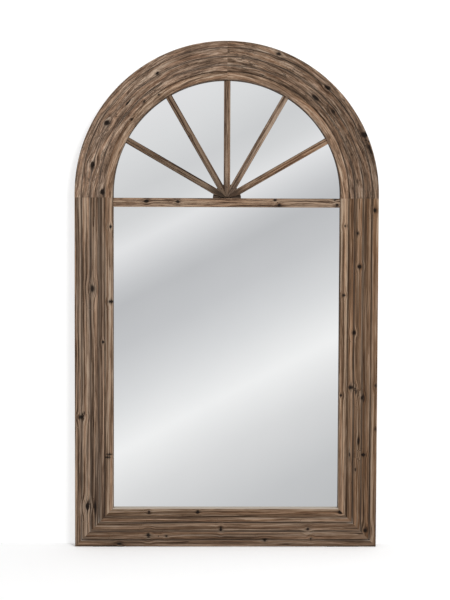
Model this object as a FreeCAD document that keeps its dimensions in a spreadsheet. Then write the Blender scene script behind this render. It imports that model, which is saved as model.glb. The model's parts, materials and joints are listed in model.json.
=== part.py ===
import FreeCAD, Part
import math
import os
import Sketcher

# An arched floor mirror: a reeded timber frame with a half-round head, an inner slip round the glass,
# a fan of five spokes over a transom, two panes bedded on a back panel, and steel and rubber fittings behind.
#
# The frame stands on the floor at height zero and faces -Y. Each left-hand piece is drawn from the centre
# plane outwards, with depths measured forward from the flat back, and the right-hand one mirrors it.

SIZES = {
    # The whole mirror. The stilt is the straight foot of each head board, below the centre of the curve.
    "overall_width": 1220,
    "overall_height": 2036,
    "arch_stilt": 15,
    # The frame boards: a rounded rim, then reeds that step down towards the glass, parted by grooves.
    "member_width": 120,
    "frame_depth": 55,
    "rim_width": 28,
    "rim_fall": 7,
    "rim_step": 4.5,
    "reed_width": 34.5,
    "reed_fall": 2,
    "reed_rise": 2.5,
    "groove_width": 3,
    "groove_depth": 2.5,
    # The slip, the strip of lighter wood that holds the glass from the front.
    "slip_width": 34,
    "slip_step": 5.5,
    "slip_rise": 2.5,
    # The glazing, from the back panel forward.
    "ledge_width": 22,
    "panel_recess": 10,
    "panel_thickness": 6,
    "panel_clearance": 2,
    "tape_thickness": 2,
    "tape_width": 25,
    "glass_thickness": 5,
    "glass_clearance": 2,
    "block_length": 60,
    # The transom, with a tongue behind it that parts the two panes.
    "transom_height": 36,
    "transom_thickness": 14,
    "transom_rise": 1.5,
    "transom_let_in": 12,
    "tongue_height": 10,
    # The fan. The spokes lie on the glass, run to a point over the hub and are let into the slip.
    "spoke_width": 26,
    "spoke_thickness": 12,
    "spoke_rise": 2,
    "spoke_let_in": 8,
    "spoke_tip": 6,
    "spoke_gap": 0.3,
    "hub_radius": 57,
    "hub_thickness": 6,
    "hub_chamfer": 1.5,
    "notch_clearance": 0.2,
    "brad_radius": 1.2,
    "brad_length": 10,
    "brad_head_radius": 2,
    "brad_head_height": 0.8,
    "brad_place": 44,
    # The flat keys in the frame's joints.
    "biscuit_length": 56,
    "biscuit_width": 23,
    "biscuit_thickness": 4,
    "biscuit_depth": 25,
    "biscuit_clearance": 0.2,
    # Steel plates across the joints, and the screws of the back.
    "plate_length": 100,
    "plate_width": 20,
    "plate_thickness": 2,
    "brace_arm": 90,
    "brace_hole_inset": 10,
    "screw_radius": 2,
    "screw_length": 20,
    "screw_point": 3,
    "screw_head_radius": 4,
    "screw_head_height": 2,
    "screw_clearance": 0.15,
    # The hangers: a strap rolled round the straight side of a D ring.
    "hanger_drop": 121,
    "strap_length": 52,
    "strap_width": 20,
    "strap_thickness": 1.5,
    "strap_end_rise": 5,
    "strap_first_hole": 13,
    "strap_second_hole": 42,
    "ring_wire_radius": 2,
    "ring_half_width": 18,
    "ring_corner": 5,
    "ring_side": 9,
    "eye_clearance": 0.3,
    # Rubber stops on the back, and pads under the bottom rail.
    "bumper_radius": 14,
    "bumper_top_radius": 11,
    "bumper_height": 9,
    "bumper_shoulder": 3,
    "bumper_low_height": 340,
    "pad_length": 130,
    "pad_thickness": 1.5,
    "pad_inset": 70,
    "pad_setback": 1,
    "pad_corner": 6,
    # How far a cut runs past the wood that it cuts.
    "overrun": 5,
}

SIDE_SCREWS = 5
RAIL_SCREWS = 4
ARCH_SCREWS = 4
REEDS = 3
SPOKES = ("spoke_far_right", "spoke_right", "spoke_centre", "spoke_left", "spoke_far_left")
SPOKE_STEP = 30
SPOKE_ANGLES = {name: SPOKE_STEP * place for place, name in enumerate(SPOKES, start=1)}
QUARTER_TURN = 90
HALF_TURN = 180
FULL_TURN = 360
BUMPER_ANGLE = 52
BLOCK_SHARE = 0.5
MAIN_TAPE_SHARES = (-0.8, -0.27, 0.27, 0.8)
FAN_TAPE_SHARES = (-0.6, 0, 0.6)
TAPE_REACH_SHARE = 0.9
PLATE_HOLE_SHARES = (-0.4, -0.16, 0.16, 0.4)
NEAR_ZERO = 1e-9

# Places worked out from the driving dimensions.
PLACES = {
    "half_width": "sizes.overall_width / 2",
    "back_face": "(sizes.frame_depth - sizes.bumper_height) / 2",
    "arch_centre": "sizes.overall_height - half_width",
    "joint_height": "arch_centre - sizes.arch_stilt",
    "hanger_height": "joint_height - sizes.hanger_drop",
    "stile_length": "joint_height - sizes.pad_thickness",
    "band_width": "sizes.member_width + sizes.slip_width",
    "member_inner": "half_width - sizes.member_width",
    "sight": "half_width - band_width",
    "rim_side": "sizes.frame_depth - sizes.rim_fall",
    "rim_end": "sizes.rim_width - sizes.groove_width / 2",
    "rim_radius": "(rim_end ^ 2 + sizes.rim_fall ^ 2) / (2 * sizes.rim_fall)",
    "reed_height": "sizes.frame_depth - sizes.rim_step",
    "last_reed_start": f"sizes.rim_width + {REEDS - 1} * sizes.reed_width",
    "last_reed_width": "sizes.member_width - last_reed_start - sizes.groove_width / 2",
    "slip_height": f"reed_height - {REEDS - 1} * sizes.reed_fall - sizes.slip_step",
    "ledge_edge": "member_inner + sizes.ledge_width",
    "ledge_middle": "member_inner + sizes.ledge_width / 2",
    "panel_edge": "ledge_edge - sizes.panel_clearance",
    "panel_low": "sizes.pad_thickness + half_width - panel_edge",
    "glass_edge": "member_inner - sizes.glass_clearance",
    "glass_low": "sizes.pad_thickness + half_width - glass_edge",
    "panel_front": "sizes.panel_recess + sizes.panel_thickness",
    "glass_back": "panel_front + sizes.tape_thickness",
    "glass_front": "glass_back + sizes.glass_thickness",
    "transom_low": "joint_height - sizes.transom_height",
    "tongue_low": "transom_low + (sizes.transom_height - sizes.tongue_height) / 2",
    "tongue_high": "tongue_low + sizes.tongue_height",
    "transom_front": "glass_front + sizes.transom_thickness",
    "spoke_front": "glass_front + sizes.spoke_thickness",
    "hub_front": "glass_front + sizes.hub_thickness",
    "board_middle": "half_width - sizes.member_width / 2",
    "fitting_line": "(sizes.member_width - sizes.ledge_width) / 2",
    "fitting_middle": "half_width - fitting_line",
    "pilot_radius": "sizes.screw_radius + sizes.screw_clearance",
    "pilot_depth": "sizes.screw_length + sizes.screw_clearance",
    "side_screw_low": "sizes.pad_thickness + band_width",
    "side_screw_pitch": f"(joint_height - sizes.member_width / 2 - side_screw_low) / {SIDE_SCREWS - 1}",
    "rail_screw_reach": "half_width - band_width - sizes.member_width / 2",
    "rail_screw_height": "sizes.pad_thickness + half_width - ledge_middle",
    "eye_radius": "sizes.ring_wire_radius + sizes.eye_clearance",
    "ring_offset": "eye_radius + sizes.strap_thickness",
}

doc = FreeCAD.newDocument("floor_mirror")
nodes = []


def add_sheet(name, cells):
    """Fills a sheet with one named cell per row."""
    sheet = doc.addObject("Spreadsheet::Sheet", name)
    for row, (alias, content) in enumerate(cells.items(), start=1):
        sheet.set(f"A{row}", alias)
        sheet.set(f"B{row}", str(content))
        sheet.setAlias(f"B{row}", alias)
    return sheet


sizes = add_sheet("sizes", SIZES)
places = add_sheet("places", {alias: f"={formula}" for alias, formula in PLACES.items()})
doc.recompute()


def number(expression):
    """The present value of an expression of sizes and places."""
    return float(places.evalExpression(expression))


def bow(chord, rise):
    """The radius of an arc that rises by so much over its chord."""
    return f"(({chord}) ^ 2 / (8 * ({rise})) + ({rise}) / 2)"


def new_body(label, height="0", rotation=None):
    """Starts a body at this height on the back of the frame; its depths run to the front."""
    facing_front = FreeCAD.Rotation(FreeCAD.Vector(0, 0, 1), HALF_TURN)
    body = doc.addObject("PartDesign::Body", label)
    body.Label = label
    body.Placement = FreeCAD.Placement(FreeCAD.Vector(), rotation or facing_front)
    body.setExpression("Placement.Base.y", "places.back_face")
    body.setExpression("Placement.Base.z", height)
    return body


def new_sketch(body, role, offset="0"):
    """Starts a sketch on one of the body's own planes, moved along the plane's normal by offset."""
    sketch = body.newObject("Sketcher::SketchObject", f"{body.Name}_outline")
    plane = next(feature for feature in body.Origin.OriginFeatures if feature.Role == role)
    sketch.AttachmentSupport = (plane, [""])
    sketch.MapMode = "FlatFace"
    sketch.setExpression("AttachmentOffset.Base.z", offset)
    return sketch


def new_flat_sketch(body, depth="0"):
    """Starts a sketch in the plane of the frame, at this depth in front of its back."""
    return new_sketch(body, "XZ_Plane", f"-({depth})")


def bind(sketch, constraint, expression):
    """Adds a dimension and ties it to an expression."""
    index = sketch.addConstraint(constraint)
    name = f"held_{index}"
    sketch.renameConstraint(index, name)
    sketch.setExpression(f"Constraints.{name}", expression)


def hold(sketch, kind, index, position, expression):
    """Holds one coordinate of a point at an expression."""
    value = number(expression)
    if abs(value) < NEAR_ZERO:
        axis = -2 if kind == "DistanceX" else -1
        sketch.addConstraint(Sketcher.Constraint("PointOnObject", index, position, axis))
    elif value > 0:
        bind(sketch, Sketcher.Constraint(kind, -1, 1, index, position, value), expression)
    else:
        bind(sketch, Sketcher.Constraint(kind, index, position, -1, 1, -value), f"-({expression})")


def arc_between(start, end, radius, outward):
    """An arc from start to end that bows outwards, and which of its ends is which."""
    chord = end - start
    normal = FreeCAD.Vector(chord.y, -chord.x, 0).normalize() * outward
    centre = (start + end) / 2 - normal * math.sqrt(radius ** 2 - (chord.Length / 2) ** 2)
    circle = Part.Circle(centre, FreeCAD.Vector(0, 0, 1), radius)
    first = math.atan2(start.y - centre.y, start.x - centre.x)
    last = math.atan2(end.y - centre.y, end.x - centre.x)
    if outward > 0:
        return Part.ArcOfCircle(circle, first, last), 1, 2
    return Part.ArcOfCircle(circle, last, first), 2, 1


def draw(sketch, corners, radii=None):
    """Closes an outline through corners, given as pairs of expressions; sides with a radius bow outwards."""
    radii = radii or {}
    points = [FreeCAD.Vector(number(x), number(y), 0) for x, y in corners]
    following = points[1:] + points[:1]
    area = sum(here.x * there.y - there.x * here.y for here, there in zip(points, following))
    outward = 1 if area >= 0 else -1
    sides = []
    for side, (start, end) in enumerate(zip(points, following)):
        shape, begins, ends = Part.LineSegment(start, end), 1, 2
        if side in radii:
            shape, begins, ends = arc_between(start, end, number(radii[side]), outward)
        sides.append((sketch.addGeometry(shape, False), begins, ends))
    for side, (x, y) in enumerate(corners):
        index, begins, _ = sides[side]
        before, _, ends = sides[side - 1]
        sketch.addConstraint(Sketcher.Constraint("Coincident", before, ends, index, begins))
        hold(sketch, "DistanceX", index, begins, x)
        hold(sketch, "DistanceY", index, begins, y)
    for side, radius in radii.items():
        bind(sketch, Sketcher.Constraint("Radius", sides[side][0], number(radius)), radius)


def draw_circle(sketch, x, y, radius):
    """Adds a circle with its centre and radius given as expressions."""
    centre = FreeCAD.Vector(number(x), number(y), 0)
    circle = Part.Circle(centre, FreeCAD.Vector(0, 0, 1), number(radius))
    index = sketch.addGeometry(circle, False)
    hold(sketch, "DistanceX", index, 3, x)
    hold(sketch, "DistanceY", index, 3, y)
    bind(sketch, Sketcher.Constraint("Radius", index, number(radius)), radius)


def pad(body, sketch, length, reverse=False, centred=False):
    feature = body.newObject("PartDesign::Pad", f"{body.Name}_pad")
    feature.Profile = sketch
    feature.SideType = "Symmetric" if centred else "One side"
    feature.Reversed = reverse
    feature.setExpression("Length", length)
    return feature


def pocket(body, sketch, length, reverse=False):
    feature = body.newObject("PartDesign::Pocket", f"{body.Name}_pocket")
    feature.Profile = sketch
    feature.Reversed = reverse
    feature.setExpression("Length", length)
    return feature


def revolve(body, sketch, angle, reverse=False):
    """Turns a sketch about its own upright axis."""
    feature = body.newObject("PartDesign::Revolution", f"{body.Name}_revolve")
    feature.Profile = sketch
    feature.ReferenceAxis = (sketch, ["V_Axis"])
    feature.Angle = angle
    feature.Reversed = reverse
    return feature


def add_node(piece):
    nodes.append(piece)
    return piece


def mirrored(piece, label):
    """The right-hand twin of a left-hand piece."""
    twin = doc.addObject("Part::Mirroring", label)
    twin.Label = label
    twin.Source = piece
    twin.Normal = FreeCAD.Vector(1, 0, 0)
    return add_node(twin)


def copies(label, source, spots):
    """Separate copies of one source shape, moved by triples of expressions, in one node."""
    shapes = []
    for spot in spots:
        shape = source.Shape.copy()
        shape.translate(FreeCAD.Vector(*[number(step) for step in spot]))
        shapes.append(shape)
    group = doc.addObject("Part::Feature", label)
    group.Label = label
    group.Shape = Part.makeCompound(shapes)
    return add_node(group)


def boxes(label, blocks):
    """Separate plain blocks in one node; each has the low corner and the size of its three sides."""
    links = []
    for low, extent in blocks:
        box = doc.addObject("Part::Box", f"{label}_block")
        for axis, place in zip("xyz", low):
            box.setExpression(f"Placement.Base.{axis}", place)
        for side, length in zip(("Length", "Width", "Height"), extent):
            box.setExpression(side, length)
        links.append(box)
    group = doc.addObject("Part::Compound", label)
    group.Label = label
    group.Links = links
    return add_node(group)


def member_section():
    """Corners of a frame board's section, from its outer edge inwards and forward from its back."""
    corners = [("0", "0"), ("0", "places.rim_side"), ("places.rim_end", "sizes.frame_depth")]
    radii = {1: "places.rim_radius"}
    for reed in range(REEDS):
        start = f"sizes.rim_width + {reed} * sizes.reed_width"
        height = f"places.reed_height - {reed} * sizes.reed_fall"
        finish = f"{start} + sizes.reed_width - sizes.groove_width / 2"
        chord = "sizes.reed_width - sizes.groove_width"
        if reed == REEDS - 1:
            finish = "sizes.member_width"
            chord = "places.last_reed_width"
        corners.append((start, f"{height} - sizes.groove_depth"))
        corners.append((f"{start} + sizes.groove_width / 2", height))
        radii[len(corners) - 1] = bow(chord, "sizes.reed_rise")
        corners.append((finish, height))
    corners.append(("sizes.member_width", "places.panel_front"))
    corners.append(("sizes.member_width - sizes.ledge_width", "places.panel_front"))
    corners.append(("sizes.member_width - sizes.ledge_width", "0"))
    return corners, radii


def slip_section():
    """Corners of the slip's section, in the same measure as the frame board's."""
    corners = [
        ("sizes.member_width", "places.glass_front"),
        ("sizes.member_width", "places.slip_height"),
        ("places.band_width", "places.slip_height"),
        ("places.band_width", "places.glass_front"),
    ]
    return corners, {1: bow("sizes.slip_width", "sizes.slip_rise")}


def draw_upright(sketch, section):
    """Draws a section seen from above, at its distance from the centre plane."""
    corners, radii = section
    draw(sketch, [(f"places.half_width - ({inward})", depth) for inward, depth in corners], radii)


def draw_lying(sketch, section):
    """Draws a section seen from the end of the bottom rail, standing on its outer edge."""
    corners, radii = section
    draw(sketch, [(depth, inward) for inward, depth in corners], radii)


def cut_mitre(body, near, far, sides):
    """Cuts a mitre between two distances from the outer edge, off a stile's foot or a rail's ends."""
    sketch = new_flat_sketch(body)
    for side in sides:
        edge = f"{side} * places.half_width"
        slant = [(f"{edge} - {side} * ({inward})", inward) for inward in (near, far)]
        draw(sketch, slant + sides[side](edge, near, far))
    pocket(body, sketch, "sizes.frame_depth + sizes.overrun")


def below_slant(edge, near, far):
    """The two corners that close a stile's mitre cut below its foot."""
    floor = "-2 * sizes.overrun"
    return [(f"{edge} - ({far})", floor), (f"{edge} - ({near})", floor)]


def right_of_slant(edge, near, far):
    """The two corners that close a rail's mitre cut past its end, on the positive side."""
    beyond = f"{edge} + 2 * sizes.overrun"
    return [(beyond, far), (beyond, near)]


def left_of_slant(edge, near, far):
    """The two corners that close a rail's mitre cut past its end, on the negative side."""
    beyond = f"{edge} - 2 * sizes.overrun"
    return [(beyond, far), (beyond, near)]


STILE_FOOT = {1: below_slant}
RAIL_ENDS = {1: right_of_slant, -1: left_of_slant}
BOARD_SPAN = ("-sizes.overrun", "sizes.member_width + sizes.overrun")
SLIP_SPAN = ("sizes.member_width - sizes.overrun", "places.band_width + sizes.overrun")


def biscuit_outline(sketch, x, height, along, clearance):
    """Draws a pointed oval key, with its long axis turned by so many degrees."""
    reach = f"(sizes.biscuit_length / 2 + {clearance})"
    rise = f"(sizes.biscuit_width / 2 + {clearance})"
    step_x = f"{reach} * cos({along} deg)"
    step_up = f"{reach} * sin({along} deg)"
    corners = [(f"{x} - {step_x}", f"{height} - {step_up}"), (f"{x} + {step_x}", f"{height} + {step_up}")]
    radius = bow(f"2 * {reach}", rise)
    draw(sketch, corners, {0: radius, 1: radius})


def cut_biscuit_slot(body, x, height, along):
    sketch = new_flat_sketch(body, "sizes.biscuit_depth - sizes.biscuit_clearance")
    biscuit_outline(sketch, x, height, along, "sizes.biscuit_clearance")
    pocket(body, sketch, "sizes.biscuit_thickness + 2 * sizes.biscuit_clearance")


def drill(body, spots, depth="0"):
    """Bores pilot holes for screws into the back of a board, from this depth forward."""
    sketch = new_flat_sketch(body, depth)
    for x, height in spots:
        draw_circle(sketch, x, height, "places.pilot_radius")
    pocket(body, sketch, "places.pilot_depth")


def turned(angle, along, across):
    """A point at a distance along and across a spoke, from the centre of the fan."""
    x = f"({along}) * cos({angle} deg) - ({across}) * sin({angle} deg)"
    height = f"({along}) * sin({angle} deg) + ({across}) * cos({angle} deg)"
    return x, height


def spoke_reach(angle):
    """The distance from the centre of the fan to the slip's edge, along a spoke at this angle."""
    return (f"(sizes.arch_stilt * sin({angle} deg)"
            f" + sqrt(places.sight ^ 2 - (sizes.arch_stilt * cos({angle} deg)) ^ 2))")


# Screw places, as distances from the centre plane and heights above the floor.
side_spots = [("places.ledge_middle", f"places.side_screw_low + {step} * places.side_screw_pitch")
              for step in range(SIDE_SCREWS)]
rail_spots = [(f"places.rail_screw_reach * {2 * step / (RAIL_SCREWS - 1) - 1}", "places.rail_screw_height")
              for step in range(RAIL_SCREWS)]
arch_angles = [QUARTER_TURN * (2 * step + 1) / (2 * ARCH_SCREWS) for step in range(ARCH_SCREWS)]
arch_spots = [(f"places.ledge_middle * cos({angle} deg)",
               f"places.arch_centre + places.ledge_middle * sin({angle} deg)") for angle in arch_angles]
strap_spots = [("places.fitting_middle", f"places.hanger_height - sizes.{hole}")
               for hole in ("strap_first_hole", "strap_second_hole")]
joint_spots = [("places.fitting_middle", f"places.joint_height + {share} * sizes.plate_length")
               for share in PLATE_HOLE_SHARES]
crown_spots = [(f"{share} * sizes.plate_length", "places.arch_centre + places.fitting_middle")
               for share in PLATE_HOLE_SHARES]

# A brace's arms lie on the fittings' line, with two holes in each.
brace_outer = "(places.fitting_line - sizes.plate_width / 2)"
brace_inner = "(places.fitting_line + sizes.plate_width / 2)"
brace_end = f"({brace_outer} + sizes.brace_arm)"
brace_holes = [f"{brace_inner} + sizes.brace_hole_inset", f"{brace_end} - sizes.brace_hole_inset"]
brace_side_spots = [("places.fitting_middle", f"sizes.pad_thickness + {hole}") for hole in brace_holes]
brace_rail_spots = [(f"places.half_width - ({hole})", "sizes.pad_thickness + places.fitting_line")
                    for hole in brace_holes]


def above(spots, level):
    """The same places, with heights counted from a level."""
    return [(x, f"{height} - {level}") for x, height in spots]


def opposite(spots):
    """The same places on the other side of the centre plane."""
    return [(f"-({x})", height) for x, height in spots]


def make_stile():
    body = new_body("left_stile", "sizes.pad_thickness")
    sketch = new_sketch(body, "XY_Plane")
    draw_upright(sketch, member_section())
    pad(body, sketch, "places.stile_length")
    cut_mitre(body, *BOARD_SPAN, STILE_FOOT)
    cut_biscuit_slot(body, "places.board_middle", "sizes.member_width / 2", 3 * QUARTER_TURN / 2)
    cut_biscuit_slot(body, "places.board_middle", "places.stile_length", 0)
    drill(body, above(side_spots, "sizes.pad_thickness"), "places.panel_front")
    fittings = strap_spots + joint_spots[:2] + brace_side_spots
    drill(body, above(fittings, "sizes.pad_thickness"))
    return add_node(body)


def make_bottom_rail():
    body = new_body("bottom_rail", "sizes.pad_thickness")
    sketch = new_sketch(body, "YZ_Plane")
    draw_lying(sketch, member_section())
    pad(body, sketch, "sizes.overall_width", centred=True)
    cut_mitre(body, *BOARD_SPAN, RAIL_ENDS)
    cut_biscuit_slot(body, "places.board_middle", "sizes.member_width / 2", 3 * QUARTER_TURN / 2)
    cut_biscuit_slot(body, "-places.board_middle", "sizes.member_width / 2", QUARTER_TURN / 2)
    drill(body, above(rail_spots, "sizes.pad_thickness"), "places.panel_front")
    fittings = brace_rail_spots + opposite(brace_rail_spots)
    drill(body, above(fittings, "sizes.pad_thickness"))
    return add_node(body)


def make_arch():
    body = new_body("left_arch", "places.arch_centre")
    curve = new_sketch(body, "XY_Plane")
    draw_upright(curve, member_section())
    revolve(body, curve, QUARTER_TURN, reverse=True)
    foot = new_sketch(body, "XY_Plane")
    draw_upright(foot, member_section())
    pad(body, foot, "sizes.arch_stilt", reverse=True)
    cut_biscuit_slot(body, "places.board_middle", "-sizes.arch_stilt", 0)
    cut_biscuit_slot(body, "0", "places.board_middle", QUARTER_TURN)
    drill(body, above(arch_spots, "places.arch_centre"), "places.panel_front")
    fittings = joint_spots[2:] + crown_spots[2:]
    drill(body, above(fittings, "places.arch_centre"))
    return add_node(body)


def make_side_slip():
    body = new_body("left_slip", "sizes.pad_thickness")
    sketch = new_sketch(body, "XY_Plane")
    draw_upright(sketch, slip_section())
    pad(body, sketch, "places.stile_length")
    cut_mitre(body, *SLIP_SPAN, STILE_FOOT)
    housing = new_flat_sketch(body, "places.glass_front")
    blind_end = "places.sight + sizes.transom_let_in + sizes.notch_clearance"
    inner_end = "places.sight - sizes.overrun"
    low = "places.transom_low - sizes.pad_thickness - sizes.notch_clearance"
    high = "places.stile_length + sizes.overrun"
    draw(housing, [(inner_end, low), (blind_end, low), (blind_end, high), (inner_end, high)])
    pocket(body, housing, "sizes.transom_thickness + sizes.notch_clearance")
    return add_node(body)


def make_bottom_slip():
    body = new_body("bottom_slip", "sizes.pad_thickness")
    sketch = new_sketch(body, "YZ_Plane")
    draw_lying(sketch, slip_section())
    pad(body, sketch, "sizes.overall_width", centred=True)
    cut_mitre(body, *SLIP_SPAN, RAIL_ENDS)
    return add_node(body)


def make_arch_slip():
    body = new_body("left_arch_slip", "places.arch_centre")
    curve = new_sketch(body, "XY_Plane")
    draw_upright(curve, slip_section())
    revolve(body, curve, QUARTER_TURN, reverse=True)
    foot = new_sketch(body, "XY_Plane")
    draw_upright(foot, slip_section())
    pad(body, foot, "sizes.arch_stilt", reverse=True)
    housings = new_flat_sketch(body, "places.glass_front")
    half = "sizes.spoke_width / 2 + sizes.notch_clearance"
    for angle in range(SPOKE_STEP, QUARTER_TURN + 1, SPOKE_STEP):
        inner_end = f"{spoke_reach(angle)} - sizes.overrun"
        blind_end = f"{spoke_reach(angle)} + sizes.spoke_let_in + sizes.notch_clearance"
        corners = [turned(angle, along, across) for along, across in (
            (inner_end, f"-({half})"), (blind_end, f"-({half})"), (blind_end, half), (inner_end, half))]
        draw(housings, above(corners, "sizes.arch_stilt"))
    pocket(body, housings, "sizes.spoke_thickness + sizes.notch_clearance")
    return add_node(body)


def make_transom():
    """A bar with a crowned front, let into the slips, and a tongue behind that parts the panes."""
    body = new_body("transom_bar")
    sketch = new_sketch(body, "YZ_Plane")
    shoulder = "places.transom_front - sizes.transom_rise"
    corners = [
        ("places.glass_front", "places.transom_low"),
        (shoulder, "places.transom_low"),
        (shoulder, "places.joint_height"),
        ("places.glass_front", "places.joint_height"),
        ("places.glass_front", "places.tongue_high"),
        ("places.panel_front", "places.tongue_high"),
        ("places.panel_front", "places.tongue_low"),
        ("places.glass_front", "places.tongue_low"),
    ]
    draw(sketch, corners, {1: bow("sizes.transom_height", "sizes.transom_rise")})
    pad(body, sketch, "2 * (places.sight + sizes.transom_let_in)", centred=True)
    return add_node(body)


def make_spoke(label, angle):
    """A crowned bar along its own X axis, from the centre of the fan to its blind end in the slip."""
    turn = FreeCAD.Rotation(FreeCAD.Vector(0, 1, 0), -angle)
    front = FreeCAD.Rotation(FreeCAD.Vector(1, 0, 0), HALF_TURN)
    body = new_body(label, "places.joint_height", turn.multiply(front))
    section = new_sketch(body, "YZ_Plane")
    half = "sizes.spoke_width / 2"
    shoulder = "places.spoke_front - sizes.spoke_rise"
    corners = [("places.glass_front", f"-{half}"), (shoulder, f"-{half}"), (shoulder, half),
               ("places.glass_front", half)]
    draw(section, corners, {1: bow("sizes.spoke_width", "sizes.spoke_rise")})
    pad(body, section, f"{spoke_reach(angle)} + sizes.spoke_let_in")
    slope = f"tan({SPOKE_STEP / 2} deg)"
    setback = f"sizes.spoke_gap / cos({SPOKE_STEP / 2} deg)"
    wide = f"({half} + sizes.overrun)"
    wide_end = f"({wide} + {setback}) / {slope}"
    narrow = f"(sizes.spoke_tip * {slope} - {setback})"
    point = new_flat_sketch(body)
    draw(point, [("-sizes.overrun", f"-{wide}"), (wide_end, f"-{wide}"), ("sizes.spoke_tip", f"-{narrow}"),
                 ("sizes.spoke_tip", narrow), (wide_end, wide), ("-sizes.overrun", wide)])
    pocket(body, point, "sizes.frame_depth")
    lap = new_flat_sketch(body, "places.glass_front")
    draw_circle(lap, "0", "0", "sizes.hub_radius + sizes.notch_clearance")
    pocket(body, lap, "sizes.hub_thickness")
    hole = new_flat_sketch(body)
    draw_circle(hole, "sizes.brad_place", "0", "sizes.brad_radius + sizes.screw_clearance")
    pocket(body, hole, "sizes.frame_depth")
    return add_node(body)


def make_hub():
    """A half-round block with an eased front edge, standing on the transom."""
    body = new_body("fan_hub", "places.joint_height")
    sketch = new_sketch(body, "XY_Plane")
    eased = "sizes.hub_radius - sizes.hub_chamfer"
    draw(sketch, [
        ("0", "places.glass_front"),
        ("sizes.hub_radius", "places.glass_front"),
        ("sizes.hub_radius", "places.hub_front - sizes.hub_chamfer"),
        (eased, "places.hub_front"),
        ("0", "places.hub_front"),
    ])
    revolve(body, sketch, HALF_TURN, reverse=True)
    holes = new_flat_sketch(body, "places.glass_front")
    for angle in SPOKE_ANGLES.values():
        x, height = turned(angle, "sizes.brad_place", "0")
        draw_circle(holes, x, height, "sizes.brad_radius + sizes.screw_clearance")
    pocket(body, holes, "sizes.hub_thickness")
    return add_node(body)


def make_brads():
    """Small headed nails through the spokes' ends into the hub, their heads on the spokes' crowns."""
    nail = new_body("brad_pattern")
    sketch = new_sketch(nail, "XY_Plane")
    seat = "places.spoke_front"
    crown = f"{seat} + sizes.brad_head_height"
    draw(sketch, [("0", f"{seat} - sizes.brad_length"), ("sizes.brad_radius", f"{seat} - sizes.brad_length"),
                  ("sizes.brad_radius", seat), ("sizes.brad_head_radius", seat), ("0", crown)])
    revolve(nail, sketch, FULL_TURN)
    doc.recompute()
    spots = []
    for angle in SPOKE_ANGLES.values():
        x, height = turned(angle, "sizes.brad_place", "0")
        spots.append((x, "0", f"places.joint_height + {height}"))
    return copies("spoke_brads", nail, spots)


def make_main_mirror():
    """The rectangular pane, from the setting blocks up to the transom's tongue."""
    body = new_body("main_mirror")
    sketch = new_flat_sketch(body, "places.glass_back")
    top = "places.tongue_low - sizes.glass_clearance"
    draw(sketch, [("-places.glass_edge", "places.glass_low"), ("places.glass_edge", "places.glass_low"),
                  ("places.glass_edge", top), ("-places.glass_edge", top)])
    pad(body, sketch, "sizes.glass_thickness", reverse=True)
    return add_node(body)


def make_fan_mirror():
    """The half-round pane, a disc cut off level above the transom's tongue."""
    body = new_body("fan_mirror", "places.arch_centre")
    disc = new_flat_sketch(body, "places.glass_back")
    draw_circle(disc, "0", "0", "places.glass_edge")
    pad(body, disc, "sizes.glass_thickness", reverse=True)
    lower = new_flat_sketch(body)
    level = "places.tongue_high + sizes.glass_clearance - places.arch_centre"
    wide = "places.half_width"
    draw(lower, [(f"-{wide}", f"-{wide}"), (wide, f"-{wide}"), (wide, level), (f"-{wide}", level)])
    pocket(body, lower, "sizes.frame_depth")
    return add_node(body)


def make_back_panel():
    """One arched board, let into the ledge and set a little below the back of the frame."""
    body = new_body("back_panel")
    lower = new_flat_sketch(body, "sizes.panel_recess")
    edge = "places.panel_edge"
    draw(lower, [(f"-{edge}", "places.panel_low"), (edge, "places.panel_low"), (edge, "places.arch_centre"),
                 (f"-{edge}", "places.arch_centre")])
    pad(body, lower, "sizes.panel_thickness", reverse=True)
    head = new_flat_sketch(body, "sizes.panel_recess")
    draw_circle(head, "0", "places.arch_centre", edge)
    pad(body, head, "sizes.panel_thickness", reverse=True)
    holes = new_flat_sketch(body, "sizes.panel_recess")
    for x, height in panel_spots():
        draw_circle(holes, x, height, "places.pilot_radius")
    pocket(body, holes, "sizes.panel_thickness")
    return add_node(body)


def panel_spots():
    """Every screw of the back panel."""
    one_side = side_spots + arch_spots
    return one_side + opposite(one_side) + rail_spots


def make_glazing_blocks():
    """Rubber blocks under the panes, and foam strips that bed them on the back panel."""
    front = "places.back_face - places.glass_front"
    rests = ("sizes.pad_thickness + sizes.member_width", "places.tongue_high")
    extent = ("sizes.block_length", "sizes.glass_thickness", "sizes.glass_clearance")
    blocks = []
    for rest in rests:
        for side in (-1, 1):
            x = f"{side} * {BLOCK_SHARE} * places.glass_edge - sizes.block_length / 2"
            blocks.append(((x, front, rest), extent))
    boxes("setting_blocks", blocks)
    behind_glass = "places.back_face - places.glass_back"
    strips = []
    main_height = "(places.tongue_low - sizes.glass_clearance - places.glass_low)"
    for share in MAIN_TAPE_SHARES:
        x = f"{share} * places.glass_edge - sizes.tape_width / 2"
        low = f"places.glass_low + {main_height} * (1 - {TAPE_REACH_SHARE}) / 2"
        height = f"{main_height} * {TAPE_REACH_SHARE}"
        strips.append(((x, behind_glass, low), ("sizes.tape_width", "sizes.tape_thickness", height)))
    for share in FAN_TAPE_SHARES:
        x = f"{share} * places.glass_edge - sizes.tape_width / 2"
        low = "places.arch_centre"
        height = f"places.glass_edge * sqrt(1 - {share} ^ 2) * {TAPE_REACH_SHARE}"
        strips.append(((x, behind_glass, low), ("sizes.tape_width", "sizes.tape_thickness", height)))
    boxes("mirror_tape", strips)


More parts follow.
